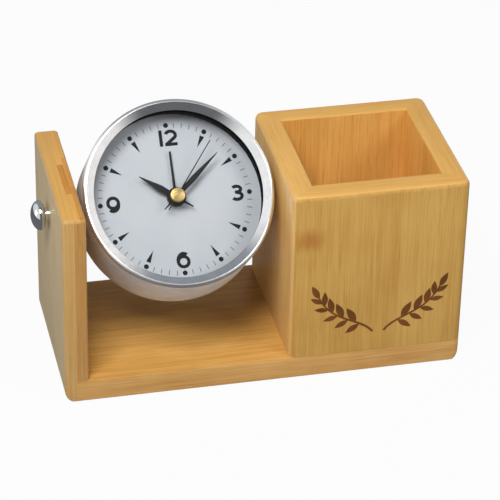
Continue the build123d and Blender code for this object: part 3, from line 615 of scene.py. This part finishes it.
def makeLaurel():
    bm = bmesh.new()
    steps = laurel["stemSteps"]
    foot, tip = laurel["stemFoot"] / 2, laurel["stemTip"] / 2
    rail = [(*onStem(i / steps), foot + (tip - foot) * i / steps) for i in range(steps + 1)]
    side = [p + Vector((-sin(a), cos(a))) * w for p, a, w in rail]
    other = [p - Vector((-sin(a), cos(a))) * w for p, a, w in rail]
    faces = [outline(bm, side + other[::-1])]
    for i, (share, heading, length) in enumerate(laurel["leaves"], 1):  # each proud of the one before
        leaf = leafOutline(onStem(share)[0], radians(heading), length)
        faces.append(outline(bm, leaf, i * laurel["lift"]))
    extrude(bm, faces, (0, 0, laurel["thickness"]))
    bmesh.ops.mirror(bm, geom=allOf(bm), axis="X", merge_dist=laurel["mirrorGap"])
    middle = (holderLow.x + holderHigh.x) / 2 + laurel["middle"]
    ground = Vector((middle, holderLow.y + laurel["sunk"], baseHigh.z))
    place = Matrix.Translation(ground) @ Matrix.Rotation(quarterTurn, 4, "X")
    finish = grainFinish("burntBamboo", *laurel["finish"])
    finishPiece(bm, "laurelSprigs", "stand", [finish], (), place)


makeLaurel()
print("laurel done")

# pivot screws
pivotScrew = {
    "rimHeight": 0.3, "domeSteps": 14, "steps": 96, "seatGap": 1.2, "shank": 6.0, "bump": 0.02,
    "look": shades("DADCDE", "C8CBCE", ringShare=0.0, roughLow=0.06, roughSpread=0.06),
}


def makePivotScrews():
    low, high = boxOf("pivot_screws")
    hub = pivot / mm
    points = [(v.co.x / mm, hypot(v.co.y / mm - hub.y, v.co.z / mm - hub.z))
              for v in nodes["pivot_screws"].data.vertices]  # place along the axis, reach from it
    headRadius = max(reach for x, reach in points)
    quarter = [quarterTurn * i / pivotScrew["domeSteps"] for i in range(pivotScrew["domeSteps"] + 1)]
    whole = bmesh.new()
    for hand, seat, tip in ((-1, uprightLow.x, low.x), (1, boxOf("holder_left")[1].x, high.x)):
        own = [(x, reach) for x, reach in points if (x - hub.x) * hand > 0]
        rimLow = min(abs(x - seat) for x, reach in own if reach > headRadius - tiny)
        neck = max(reach for x, reach in own if near(x, seat))
        rimHigh = rimLow + pivotScrew["rimHeight"]
        dome = abs(tip - seat) - rimHigh
        belly = rimLow - pivotScrew["seatGap"]
        under = [(headRadius * sin(t), rimLow - belly * cos(t)) for t in quarter]
        under = [(r, x) for r, x in under if r > neck]
        over = [(headRadius * cos(t), rimHigh + dome * sin(t)) for t in quarter]
        shank = [(0.0, -pivotScrew["shank"]), (neck, -pivotScrew["shank"]), (neck, under[0][1])]
        place = Matrix.Translation((seat, hub.y, hub.z)) @ Matrix.Rotation(hand * quarterTurn, 4, "Y")
        gather(whole, turned(shank + under + over, pivotScrew["steps"]), place)
    finish = metalFinish("polishedChrome", pivotScrew["look"], (origin, tuple(-pivot)), pivotScrew["bump"])
    finishPiece(whole, "pivotScrews", "stand", [finish], ["pivot_screws"])


makePivotScrews()
print("pivot screws done")

# the clock's case, glass and ring
caseLow, caseHigh, caseReach, caseLip = spanOf("case_shell")
lensLow, lensHigh, lensReach, _ = spanOf("lens")
ringLow, ringHigh, ringReach, ringIn = spanOf("spacer_ring")
dialLow, dialHigh, dialReach, dialHole = spanOf("dial")
matteBlack = (shades("121315", "0A0B0C", roughLow=0.8), 0.1, 0.02)  # look, bump, specular

clockCase = {
    "rimRound": 1.5, "rimSteps": 10, "backRound": 1.4, "backSteps": 6, "bevelSlope": 29.2, "lipSetOut": 1.15,
    "wallGap": 0.15, "steps": 256, "sharp": 20.0, "lines": {"ringPitch": 0.00025, "ringShare": 0.8},
    "metals": [  # drum, edges, bevel: name, two colours, roughness and its spread, bump, share of metal
        ("satinAluminium", "E6EBF2", "D8DEE7", 0.50, 0.10, 0.1, 0.3),
        ("edgeAluminium", "EDEDED", "E2E2E3", 0.28, 0.08, 0.06, 1.0),
        ("turnedAluminium", "EDEDED", "E2E2E3", 0.10, 0.05, 0.06, 1.0),
    ],
}


def makeCase():
    inner = ringReach + clockCase["wallGap"]
    rim, back = clockCase["rimRound"], clockCase["backRound"]
    lip = caseLip + clockCase["lipSetOut"]
    lipTop = caseHigh.z - (caseReach - rim - lip) * tan(radians(clockCase["bevelSlope"]))
    section = [(inner, caseLow.z)]
    section += arc((caseReach - back, caseLow.z + back), back, -90, 0, clockCase["backSteps"])
    section += arc((caseReach - rim, caseHigh.z - rim), rim, 0, 90, clockCase["rimSteps"])
    section += [(lip, lipTop), (lip, lensHigh.z), (inner, lensHigh.z)]
    bm = turned(section, clockCase["steps"], True)
    for face in bm.faces:
        middle = face.calc_center_median()
        inside = hypot(middle.x, middle.y) < caseReach - rim
        onEdge = middle.z > caseHigh.z - rim or middle.z < caseLow.z + back
        face.material_index = 2 if inside and middle.z > lipTop else int(onEdge)
        if inside and lensHigh.z - tiny < middle.z < lipTop:
            face.material_index = 3  # the wall under the lip, its metal painted black as shade
    finishes = []
    for name, light, dark, rough, spread, bump, share in clockCase["metals"]:
        look = shades(light, dark, roughLow=rough, roughSpread=spread, **clockCase["lines"])
        finishes.append(metalFinish(name, look, clockAxes, bump, share))
    finishes.append(grainFinish("lipPaintedShadeBlack", *matteBlack))
    sharp = clockCase["sharp"]
    finishPiece(bm, "clockCase", "clock", finishes, ["case_shell"], clockPlace, sharp)


frontGlass = {"edge": 0.25, "steps": 192, "smudge": (60.0, 3.0, 0.6), "roughLow": 0.0, "roughHigh": 0.02,
              "colour": (0.97, 0.985, 0.98, 1), "ior": 1.47}


def glassFinish(name, look):
    constants = {"Base Color": look["colour"], "Transmission Weight": 1.0, "IOR": look["ior"]}
    material, tree, shader = startMaterial(name, constants)
    smudge = noise(source(tree, "TexCoord")["Object"], *look["smudge"])
    faint = addNode("MapRange", value=smudge, toMin=look["roughLow"], toMax=look["roughHigh"])
    tree.links.new(faint["Result"], shader.inputs["Roughness"])
    path = source(tree, "LightPath")  # light passes straight through to the dial
    mirrored = sums("SUBTRACT", path["Is Glossy Ray"], path["Is Transmission Ray"])
    passing = sums("MAXIMUM", path["Is Diffuse Ray"], mirrored)
    passing = sums("MAXIMUM", path["Is Shadow Ray"], passing)
    clear = source(tree, "BsdfTransparent")[0]
    mixShaders(tree, passing, shader.outputs[0], clear, "Material Output")
    return material


def makeLens():
    edge = frontGlass["edge"]
    profile = [(0, lensLow.z), (lensReach, lensLow.z), (lensReach, lensHigh.z - edge),
               (lensReach - edge, lensHigh.z), (0, lensHigh.z)]
    bm = turned(profile, frontGlass["steps"])
    finish = glassFinish("clearGlass", frontGlass)
    finishPiece(bm, "frontGlass", "clock", [finish], ["lens"], clockPlace, clockCase["sharp"])


spacerRing = {"edge": 0.3, "steps": 192}


def makeRing():
    bore, edge = ringIn + clockCase["lipSetOut"], spacerRing["edge"]
    profile = [(bore, ringLow.z), (ringReach, ringLow.z), (ringReach, ringHigh.z), (bore + edge, ringHigh.z),
               (bore, ringHigh.z - edge)]
    bm = turned(profile, spacerRing["steps"], True)
    finish = grainFinish("ringBlack", *matteBlack)
    finishPiece(bm, "spacerRing", "clock", [finish], ["spacer_ring"], clockPlace)


makeCase()
makeLens()
makeRing()
print("case, glass and ring done")

# dial and its prints
dialFace = {
    "steps": 160, "inkHeight": 0.04, "inkSunk": 0.01, "dotRing": 31.5, "dotRadius": 1.04, "dotSteps": 24,
    "tickRing": 31.4, "tickLength": 2.1, "tickWidth": 0.35,
    "wedgeBase": 29.4, "wedgeTip": 24.0, "wedgeWidth": 2.0,
    "card": (shades("C6CAD1", "BFC4CC", roughLow=0.5), 0.05),
    "black": (shades("131417", "0B0C0E", roughLow=0.6), 0.05, 0.2),
    "grey": (shades("74787E", "666A70", roughLow=0.5), 0.05),
}
numeral = {
    "ring": 26.1, "height": 7.0, "stroke": 1.4, "level": 0.005, "oneAt": -2.75, "twoAt": 1.45,
    "twoFoot": 2.1, "twoBase": 2.6, "threeBar": 0.75, "waist": 2.48, "bowSteps": 8, "bowStep": 8,
    "bows": {  # middle, 1 hung from the top or -1 stood on the foot, half width, half height, angles
        "two": (0, 1, 2.1, 1.75, 160, -32), "threeUpper": (0, 1, 1.85, 1.24, 145, -90),
        "threeLower": (0, -1, 2.1, 1.46, 90, -148), "sixBowl": (0, -1, 2.2, 2.16, 0, 360),
        "sixBack": (0.15, 0, 2.35, 2.8, 50, 190),
    },
}


def numeralLines():
    top = (numeral["height"] - numeral["stroke"]) / 2  # middle of the highest and lowest strokes
    end, waist = numeral["height"] / 2, top - numeral["waist"]
    foot, base, bar = numeral["twoFoot"], numeral["twoBase"], numeral["threeBar"]
    bows = {}
    for name, (x, hang, wide, tall, first, last) in numeral["bows"].items():
        steps = max(numeral["bowSteps"], int(abs(last - first) / numeral["bowStep"]))
        bows[name] = arc((x, hang * (top - tall)), wide, first, last, steps, tall)
    one = [[(0, -end), (0, end)]]
    two = [bows["two"] + [(-foot, -top)], [(-base, -top), (base, -top)]]
    three = [bows["threeUpper"], bows["threeLower"], [(-bar, waist), (0, waist)]]
    return one, two, three, [bows["sixBowl"], bows["sixBack"]]


def drawNumeral(bm, lines, spot, turn):  # lines lie one above the other, so that no two share a plane
    before = set(bm.verts)
    faces = []
    for level, points in enumerate(lines):
        faces += strokeAlong(bm, points, numeral["level"] * level, numeral["stroke"])
    place = Matrix.Translation((*spot, 0)) @ Matrix.Rotation(turn, 4, "Z")
    bmesh.ops.transform(bm, matrix=place, verts=[v for v in bm.verts if v not in before])
    return faces


def makeDialPrints():
    inkBm, greyBm = bmesh.new(), bmesh.new()
    ink, grey = [], []
    half = dialFace["wedgeWidth"] / 2
    wedge = [(dialFace["wedgeBase"], -half), (dialFace["wedgeTip"], 0.0), (dialFace["wedgeBase"], half)]
    for hour in range(12):
        turn = quarterTurn - hour * fullTurn / 12
        spot = Matrix.Translation((*rotated(dialFace["dotRing"], 0.0, turn), 0))
        ink += added(inkBm, bmesh.ops.create_circle, cap_ends=True, segments=dialFace["dotSteps"],
                     radius=dialFace["dotRadius"], matrix=spot)
        if hour % 3:
            ink.append(outline(inkBm, [rotated(x, y, turn) for x, y in wedge]))
    ring = numeral["ring"]
    one, two, three, six = numeralLines()
    spots = [(one, (numeral["oneAt"], ring), 0), (two, (numeral["twoAt"], ring), 0), (three, (ring, 0), 0),
             (six, (0, -ring), 0), (six, (-ring, 0), pi)]  # a nine is a six upside down
    for lines, spot, turn in spots:
        ink += drawNumeral(inkBm, lines, spot, turn)
    size = Matrix.Diagonal((dialFace["tickLength"], dialFace["tickWidth"], 1, 1))
    for minute in range(60):
        if minute % 5:
            turn = Matrix.Rotation(quarterTurn - minute * fullTurn / 60, 4, "Z")
            spot = turn @ Matrix.Translation((dialFace["tickRing"], 0, 0)) @ size
            grey += added(greyBm, bmesh.ops.create_grid, x_segments=1, y_segments=1, size=0.5, matrix=spot)
    place = clockPlace @ Matrix.Translation((0, 0, dialHigh.z - dialFace["inkSunk"]))
    black = grainFinish("dialInk", *dialFace["black"])
    pale = grainFinish("dialGreyInk", *dialFace["grey"])
    for bm, faces, name, finish in ((inkBm, ink, "dialNumerals", black), (greyBm, grey, "dialTicks", pale)):
        extrude(bm, faces, (0, 0, dialFace["inkHeight"]))
        finishPiece(bm, name, "clock", [finish], (), place)


def makeDial():
    profile = [(dialHole, dialLow.z), (dialReach, dialLow.z), (dialReach, dialHigh.z), (dialHole, dialHigh.z)]
    bm = turned(profile, dialFace["steps"], True)
    finish = grainFinish("dialCard", *dialFace["card"])
    finishPiece(bm, "dialCard", "clock", [finish], ["dial"], clockPlace)


makeDial()
makeDialPrints()
print("dial done")

# hands
handSet = {
    "overlap": 0.2, "tipReach": 0.1, "hubEdge": 0.1, "hubSteps": 64, "edge": (0.07, 2),
    "finish": (shades("101113", "090A0B", roughLow=0.5), 0.05, 0.25),
    "hands": {  # node, body, hub's radius, shares of shoulder, swell, root and point, tail's widths
        "alarm": ("alarm_hand", "alarm", 3.2, (0.3, 1.35, 1.0, 0.75), None),
        "hour": ("hour_hand", "hours", 4.0, (0.42, 1.25, 0.75, 0.1), (1.4, 0.5)),
        "minute": ("minute_hand", "minutes", 2.7, (0.42, 1.2, 0.75, 0.1), (0.9, 0.45)),
        "second": ("second_hand", "seconds", 1.6, (0.3, 1.2, 1.0, 0.8), (0.55, 0.45)),
    },
}


def makeHand(finish, name, node, body, hub, shares, tailWidths):
    shoulder, swell, root, point = shares  # the shoulder's of the reach, the rest of the half width
    points = pointsOf(node)
    low, high, longest, bore = spanOf(node)
    tips = [p for p in points if hypot(p.x, p.y) > longest - handSet["tipReach"]]
    turn = atan2(sum(p.y for p in tips), sum(p.x for p in tips))
    along = [(*rotated(p.x, p.y, -turn), p.z) for p in points]  # with the hand along x
    reach, tail = max(p[0] for p in along), min(p[0] for p in along)
    bladeLow, bladeHigh = cornersOf([p for p in along if p[0] > hub + handSet["overlap"]])
    half = bladeHigh.y * swell
    start = bore + handSet["overlap"]
    upper = [(reach, half * point), (reach * shoulder, half), (start, half * root)]
    bm = bmesh.new()
    faces = [outline(bm, [(x, -y) for x, y in reversed(upper)] + upper, bladeLow.z)]
    if tailWidths:
        wide, end = tailWidths[0] / 2, tailWidths[1] / 2
        faces.append(outline(bm, [(-start, wide), (tail, end), (tail, -end), (-start, -wide)], bladeLow.z))
    extrude(bm, faces, (0, 0, bladeHigh.z - bladeLow.z))
    bmesh.ops.recalc_face_normals(bm, faces=bm.faces)
    roundEdges(bm, lambda a, b: bothAt(a, b, 2, bladeHigh.z), handSet["edge"])
    edge = handSet["hubEdge"]
    profile = [(bore, low.z), (hub, low.z), (hub, high.z - edge), (hub - edge, high.z), (bore, high.z)]
    gather(bm, turned(profile, handSet["hubSteps"], True))
    place = clockPlace @ Matrix.Rotation(turn, 4, "Z")
    finishPiece(bm, name + "Hand", body, [finish], [node], place)


centreCap = {
    "edge": 0.3, "edgeSteps": 5, "dish": 0.04, "dishShare": 0.5, "steps": 96, "bump": 0.25,
    "look": shades("CDB27A", "AE9157", ringPitch=0.00012, ringShare=1.0, roughLow=0.22, roughSpread=0.12),
}


def makeCap():
    low, high, reach, _ = spanOf("centre_cap")
    edge = centreCap["edge"]
    profile = [(0, low.z), (reach, low.z)]
    profile += arc((reach - edge, high.z - edge), edge, 0, 90, centreCap["edgeSteps"])
    profile += [(reach * centreCap["dishShare"], high.z), (0, high.z - centreCap["dish"])]
    bm = turned(profile, centreCap["steps"])
    finish = metalFinish("turnedBrass", centreCap["look"], clockAxes, centreCap["bump"])
    finishPiece(bm, "centreCap", "seconds", [finish], ["centre_cap"], clockPlace)


handFinish = grainFinish("handBlack", *handSet["finish"])
for handName, handParts in handSet["hands"].items():
    makeHand(handFinish, handName, *handParts)
makeCap()
print("hands done")

# finishes of the solids that stay as they are
keptFinishes = [  # name, two colours, a metal's roughness, nodes
    ("plateIvory", "D8D4C6", "CBC6B6", None, "front_plate", "mid_plate", "bridge_plate"),
    ("wheelWhite", "E6E6E2", "D6D6D0", None, "hour_wheel", "minute_work", "third_wheel", "inter_wheel",
     "alarm_wheel", "seconds_wheel", "rotor"),
    ("bobbinWhite", "E9E6DC", "DDD9CD", None, "coil_bobbin"),
    ("boardGreen", "2F6B43", "255838", None, "circuit_board"),
    ("chipBlack", "17181A", "0F1011", None, "chip"),
    ("buzzerBlack", "1D1E20", "141517", None, "buzzer"),
    ("coverBlack", "232427", "191A1C", None, "rear_cover", "battery_door", "time_set_knob", "alarm_set_knob",
     "alarm_slider"),
    ("cellSleeve", "3E6A4A", "33583E", None, "battery"),
    ("washerRubber", "1C1C1D", "121213", None, "pivot_washers"),
    ("magnetGrey", "4A4B4E", "3B3C3F", None, "rotor_magnet"),
    ("wheelBrass", "CDAA62", "B9944C", 0.25, "centre_wheel"),
    ("statorSteel", "B4B6B8", "9EA1A4", 0.35, "stator"),
    ("coilCopper", "C37B4B", "A9622F", 0.3, "coil_winding"),
    ("crystalCan", "CFCDC6", "BAB8B0", 0.22, "crystal"),
    ("contactMetal", "D2D2CF", "BDBDBA", 0.25, "contact_positive", "contact_negative"),
]


def dressKept():
    for name, light, dark, rough, *dressed in keptFinishes:
        if rough:
            finish = metalFinish(name, shades(light, dark, ringShare=0.0, roughLow=rough))
        else:
            finish = grainFinish(name, shades(light, dark))
        for node in dressed:
            nodes[node].data.materials.clear()
            nodes[node].data.materials.append(finish)


dressKept()
print("kept solids dressed")

# details on the clock's back: screw heads, turning arrows, grips and the switch's words
coverFinish = bpy.data.materials["coverBlack"]
markFinish = grainFinish("markGrey", shades("6A6B6E", "5B5C5F", roughLow=0.5))
faceBack = Matrix.Rotation(pi, 4, "Y")  # shows a shape the right way round from behind
coverScrew = {
    "edge": 0.2, "crown": 0.25, "flatShare": 0.8, "steps": 40, "headReach": 0.05,
    "crossReach": 0.95, "crossHalf": 0.26, "crossDeep": 0.5, "crossTaper": 0.75,
    "look": shades("8E9093", "7B7E81", ringShare=0.0, roughLow=0.4),
}


def screwShape(headRadius, headHeight, shankRadius, shankLength):
    edge, top = coverScrew["edge"], headHeight + coverScrew["crown"]
    profile = [(0, -shankLength), (shankRadius, -shankLength), (shankRadius, 0), (headRadius, 0),
               (headRadius, headHeight - edge), (headRadius - edge, headHeight),
               (headRadius * coverScrew["flatShare"], top)]
    bm = turned(profile, coverScrew["steps"])
    rimEdges = [e for e in bm.edges if e.is_boundary]
    reach, half = coverScrew["crossReach"], coverScrew["crossHalf"]
    arm = [(reach, -half), (reach, half), (half, half)]  # one arm, turned four times
    spots = [rotated(x, y, i * quarterTurn) for i in range(4) for x, y in arm]
    corners = [bm.verts.new((*spot, top)) for spot in spots]
    cross = [bm.edges.new(pair) for pair in zip(corners, corners[1:] + corners[:1])]
    bmesh.ops.triangle_fill(bm, edges=rimEdges + cross, use_beauty=True)
    sunk = bmesh.ops.extrude_edge_only(bm, edges=cross)["geom"]
    deep = vertsOf(sunk)
    bmesh.ops.scale(bm, vec=(coverScrew["crossTaper"], coverScrew["crossTaper"], 1), verts=deep)
    bmesh.ops.translate(bm, vec=(0, 0, -coverScrew["crossDeep"]), verts=deep)
    bmesh.ops.contextual_create(bm, geom=edgesOf(sunk))
    return bm


def makeCoverScrews():
    points = pointsOf("cover_screws")
    low, high = cornersOf(points)
    middle = (low + high) / 2
    whole = bmesh.new()
    for right, above in ((False, False), (False, True), (True, False), (True, True)):
        own = [p for p in points if (p.x > middle.x) == right and (p.y > middle.y) == above]
        ownLow, ownHigh = cornersOf(own)
        axis = (ownLow + ownHigh) / 2
        headRadius = ownHigh.x - axis.x
        reach = [(hypot(p.x - axis.x, p.y - axis.y), p.z) for p in own]
        seat = max(z for r, z in reach if r > headRadius - coverScrew["headReach"])
        shankRadius = max(r for r, z in reach if near(z, high.z))
        shape = screwShape(headRadius, seat - low.z - coverScrew["crown"], shankRadius, high.z - seat)
        gather(whole, shape, Matrix.Translation((axis.x, axis.y, seat)) @ faceBack)
    finish = metalFinish("screwSteel", coverScrew["look"])
    finishPiece(whole, "coverScrews", "clock", [finish], ["cover_screws"], clockPlace)


knobMark = {
    "knobs": {"time_set_knob": "time_setting", "alarm_set_knob": "alarm_setting"},
    "reach": 2.7, "width": 0.55, "start": 60, "end": 330, "steps": 24,
    "headLength": 1.5, "headWidth": 1.7, "rise": 0.2,
}


def makeKnobMarks():
    for node, body in knobMark["knobs"].items():
        points = pointsOf(node)
        outer = min(p.z for p in points)
        faceLow, faceHigh = cornersOf([p for p in points if near(p.z, outer)])
        middle = (faceLow + faceHigh) / 2
        bm = bmesh.new()
        curve = arc(origin, knobMark["reach"], knobMark["start"], knobMark["end"], knobMark["steps"])
        faces = strokeAlong(bm, curve, 0.0, knobMark["width"])
        heading = radians(knobMark["end"]) + quarterTurn
        half = knobMark["headWidth"] / 2
        head = [(0, -half), (knobMark["headLength"], 0), (0, half)]
        faces.append(outline(bm, [Vector(curve[-1]) + Vector(rotated(x, y, heading)) for x, y in head]))
        extrude(bm, faces, (0, 0, knobMark["rise"]))
        place = clockPlace @ Matrix.Translation((middle.x, middle.y, outer)) @ faceBack
        finishPiece(bm, node + "_arrow", body, [markFinish], (), place)


backGrips = {  # bars side by side: from the middle of the face, step from one to the next, size and height
    "doorGrip": {"node": "battery_door", "body": "door", "shift": (0, 4.4), "step": (0, 1.2), "count": 4,
                 "size": (10.0, 0.55), "rise": 0.3},
    "sliderGrip": {"node": "alarm_slider", "body": "alarm_switch", "shift": (0, 0), "step": (0.95, 0),
                   "count": 3, "size": (0.45, 2.3), "rise": 0.25},
}
gripSteps = 2


def makeBackGrips():
    for name, grip in backGrips.items():
        low, high = cornersOf(pointsOf(grip["node"]))
        corner = Vector((grip["size"][0] / 2, grip["size"][1] / 2, grip["rise"]))
        whole = bmesh.new()
        for i in range(grip["count"]):
            place = i - (grip["count"] - 1) / 2
            spot = [(low[k] + high[k]) / 2 + grip["shift"][k] + place * grip["step"][k] for k in (0, 1)]
            middle = Vector((*spot, low.z))
            bar = block(middle - corner, middle + corner)
            roundEdges(bar, lambda a, b: max(a.z, b.z) < low.z, (grip["rise"] / 2, gripSteps))
            gather(whole, bar)
        finishPiece(whole, name, grip["body"], [coverFinish], (), clockPlace)


switchWords = {"words": ["OFF", "ON"], "size": 2.3, "rise": 0.2, "above": 4.2, "apart": 1.6}


def makeSwitchWords():
    low, high = cornersOf(pointsOf("alarm_slider"))
    travel = joints["alarm_slide"]["range_m"][1] / mm
    coverBack = spanOf("battery_door")[0].z
    middle = (low + high) / 2
    whole = bmesh.new()
    for i, word in enumerate(switchWords["words"]):
        letters = bpy.data.curves.new(word, "FONT")
        letters.body = word
        letters.size = switchWords["size"]
        letters.align_x, letters.align_y = "CENTER", "CENTER"
        letters.extrude = switchWords["rise"]
        holder = bpy.data.objects.new(word, letters)
        shape = bmesh.new()
        mesh = bpy.data.meshes.new_from_object(holder)
        shape.from_mesh(mesh)
        x = middle.x + i * travel + (2 * i - 1) * switchWords["apart"]
        gather(whole, shape, Matrix.Translation((x, middle.y + switchWords["above"], coverBack)) @ faceBack)
        bpy.data.meshes.remove(mesh)
        bpy.data.objects.remove(holder)
        bpy.data.curves.remove(letters)
    bmesh.ops.remove_doubles(whole, verts=whole.verts, dist=weld)
    finishPiece(whole, "switchWords", "clock", [markFinish], (), clockPlace)


makeCoverScrews()
makeKnobMarks()
makeBackGrips()
makeSwitchWords()
print("back details done")

# floor, light and camera
studio = {
    "floorRadius": 0.95, "floorSteps": 96, "floorColour": (0.55, 0.55, 0.55, 1), "floorRough": 0.9,
    "floorLift": 0.95,  # how much of the floor is plain white to the camera
    "ambient": (1.0, 0.94, 0.84, 1), "ambientStrength": 0.14,
    "dimFront": (0.145, 0.15, 0.16, 1),
    "walls": [  # what metal mirrors: axis, start and end of the change, colour
        ("Y", -0.3, 0.35, (0.30, 0.325, 0.36, 1)), ("X", -0.30, -0.62, (0.98, 1.0, 1.0, 1)),
        ("X", 0.42, 0.75, (1.0, 0.98, 0.96, 1)),
    ],
    "aim": (0.0, 0.0, 0.05), "lampSize": 0.5,
    "lamps": [  # name, place, power
        ("keyLeft", (-0.38, -0.60, 1.10), 13.0), ("keyRight", (0.70, -0.78, 0.95), 5.0),
        ("sideLeft", (-1.25, 0.05, 0.32), 2.5), ("fillBack", (0.50, 1.35, 0.28), 2.6),
    ],
    "softOnly": ["fillBack"],  # lamps that no mirror shows
}


def seenRays(tree):  # the rays' kinds, and which of them see a surface rather than its light
    path = source(tree, "LightPath")
    bounced = sums("MAXIMUM", path["Is Glossy Ray"], path["Is Transmission Ray"])
    return path, sums("MAXIMUM", path["Is Camera Ray"], bounced)


def makeFloor():
    bm = bmesh.new()
    bmesh.ops.create_circle(bm, cap_ends=True, segments=studio["floorSteps"], radius=studio["floorRadius"])
    floor = intoScene("floor", meshOf(bm, "floor"))
    constants = {"Base Color": studio["floorColour"], "Roughness": studio["floorRough"],
                 "Specular IOR Level": 0.0}
    material, tree, shader = startMaterial("floorPaper", constants)
    path, seen = seenRays(tree)
    tone = blendColour(path["Is Glossy Ray"], white, studio["dimFront"])
    glow = addNode("Emission", color=tone, strength=1.0)[0]
    share = sums("MULTIPLY", seen, studio["floorLift"])
    mixShaders(tree, share, shader.outputs[0], glow, "Material Output")
    floor.data.materials.append(material)


def makeWorld():
    world = bpy.data.worlds.new("studio")
    bpy.context.scene.world = world
    world.use_nodes = True
    tree = world.node_tree
    dim = tree.nodes["Background"]
    dim.inputs["Color"].default_value = studio["ambient"]
    dim.inputs["Strength"].default_value = studio["ambientStrength"]
    split = addNode("SeparateXYZ", vector=source(tree, "TexCoord")["Generated"])
    path, seen = seenRays(tree)
    colour = studio["dimFront"]
    for axis, start, end, wall in studio["walls"]:
        colour = blendColour(ramp(split[axis], start, end), colour, wall)
    colour = blendColour(path["Is Camera Ray"], colour, white)
    bright = addNode("Background", color=colour, strength=1.0)[0]
    mixShaders(tree, seen, dim.outputs[0], bright, "World Output")


def makeLamps():
    for name, spot, power in studio["lamps"]:
        lamp = bpy.data.lights.new(name, "AREA")
        lamp.shape = "SQUARE"
        lamp.size = studio["lampSize"]
        lamp.energy = power
        holder = intoScene(name, lamp)
        holder.visible_glossy = name not in studio["softOnly"]
        holder.location = spot
        holder.rotation_euler = (Vector(studio["aim"]) - Vector(spot)).to_track_quat("-Z", "Y").to_euler()


photoCamera = {
    "target": (0.0, 1.0, 43.0), "azimuth": -13.24, "elevation": 32.12, "roll": 1.29, "distance": 1097.0,
    "shiftRight": 1.08, "shiftUp": -1.40, "lens": 185.57, "sensor": 36.0, "clipStart": 0.01,
}


def makeCamera():
    az, el, roll = (radians(photoCamera[k]) for k in ("azimuth", "elevation", "roll"))
    back = Vector((sin(az) * cos(el), -cos(az) * cos(el), sin(el)))
    right = Vector((cos(az), sin(az), 0))
    up = back.cross(right)
    side = right * cos(roll) + up * sin(roll)
    head = up * cos(roll) - right * sin(roll)
    spot = Vector(photoCamera["target"]) + back * photoCamera["distance"]
    spot += side * photoCamera["shiftRight"] + head * photoCamera["shiftUp"]
    lens = bpy.data.cameras.new("photoCamera")
    lens.lens = photoCamera["lens"]
    lens.sensor_width = photoCamera["sensor"]
    lens.clip_start = photoCamera["clipStart"]
    camera = intoScene("photoCamera", lens)
    camera.matrix_world = Matrix.Translation(spot * mm) @ Matrix((side, head, back)).transposed().to_4x4()
    bpy.context.scene.camera = camera


makeFloor()
makeWorld()
makeLamps()
makeCamera()
bpy.context.scene.view_settings.view_transform = "Standard"
print("stage done")
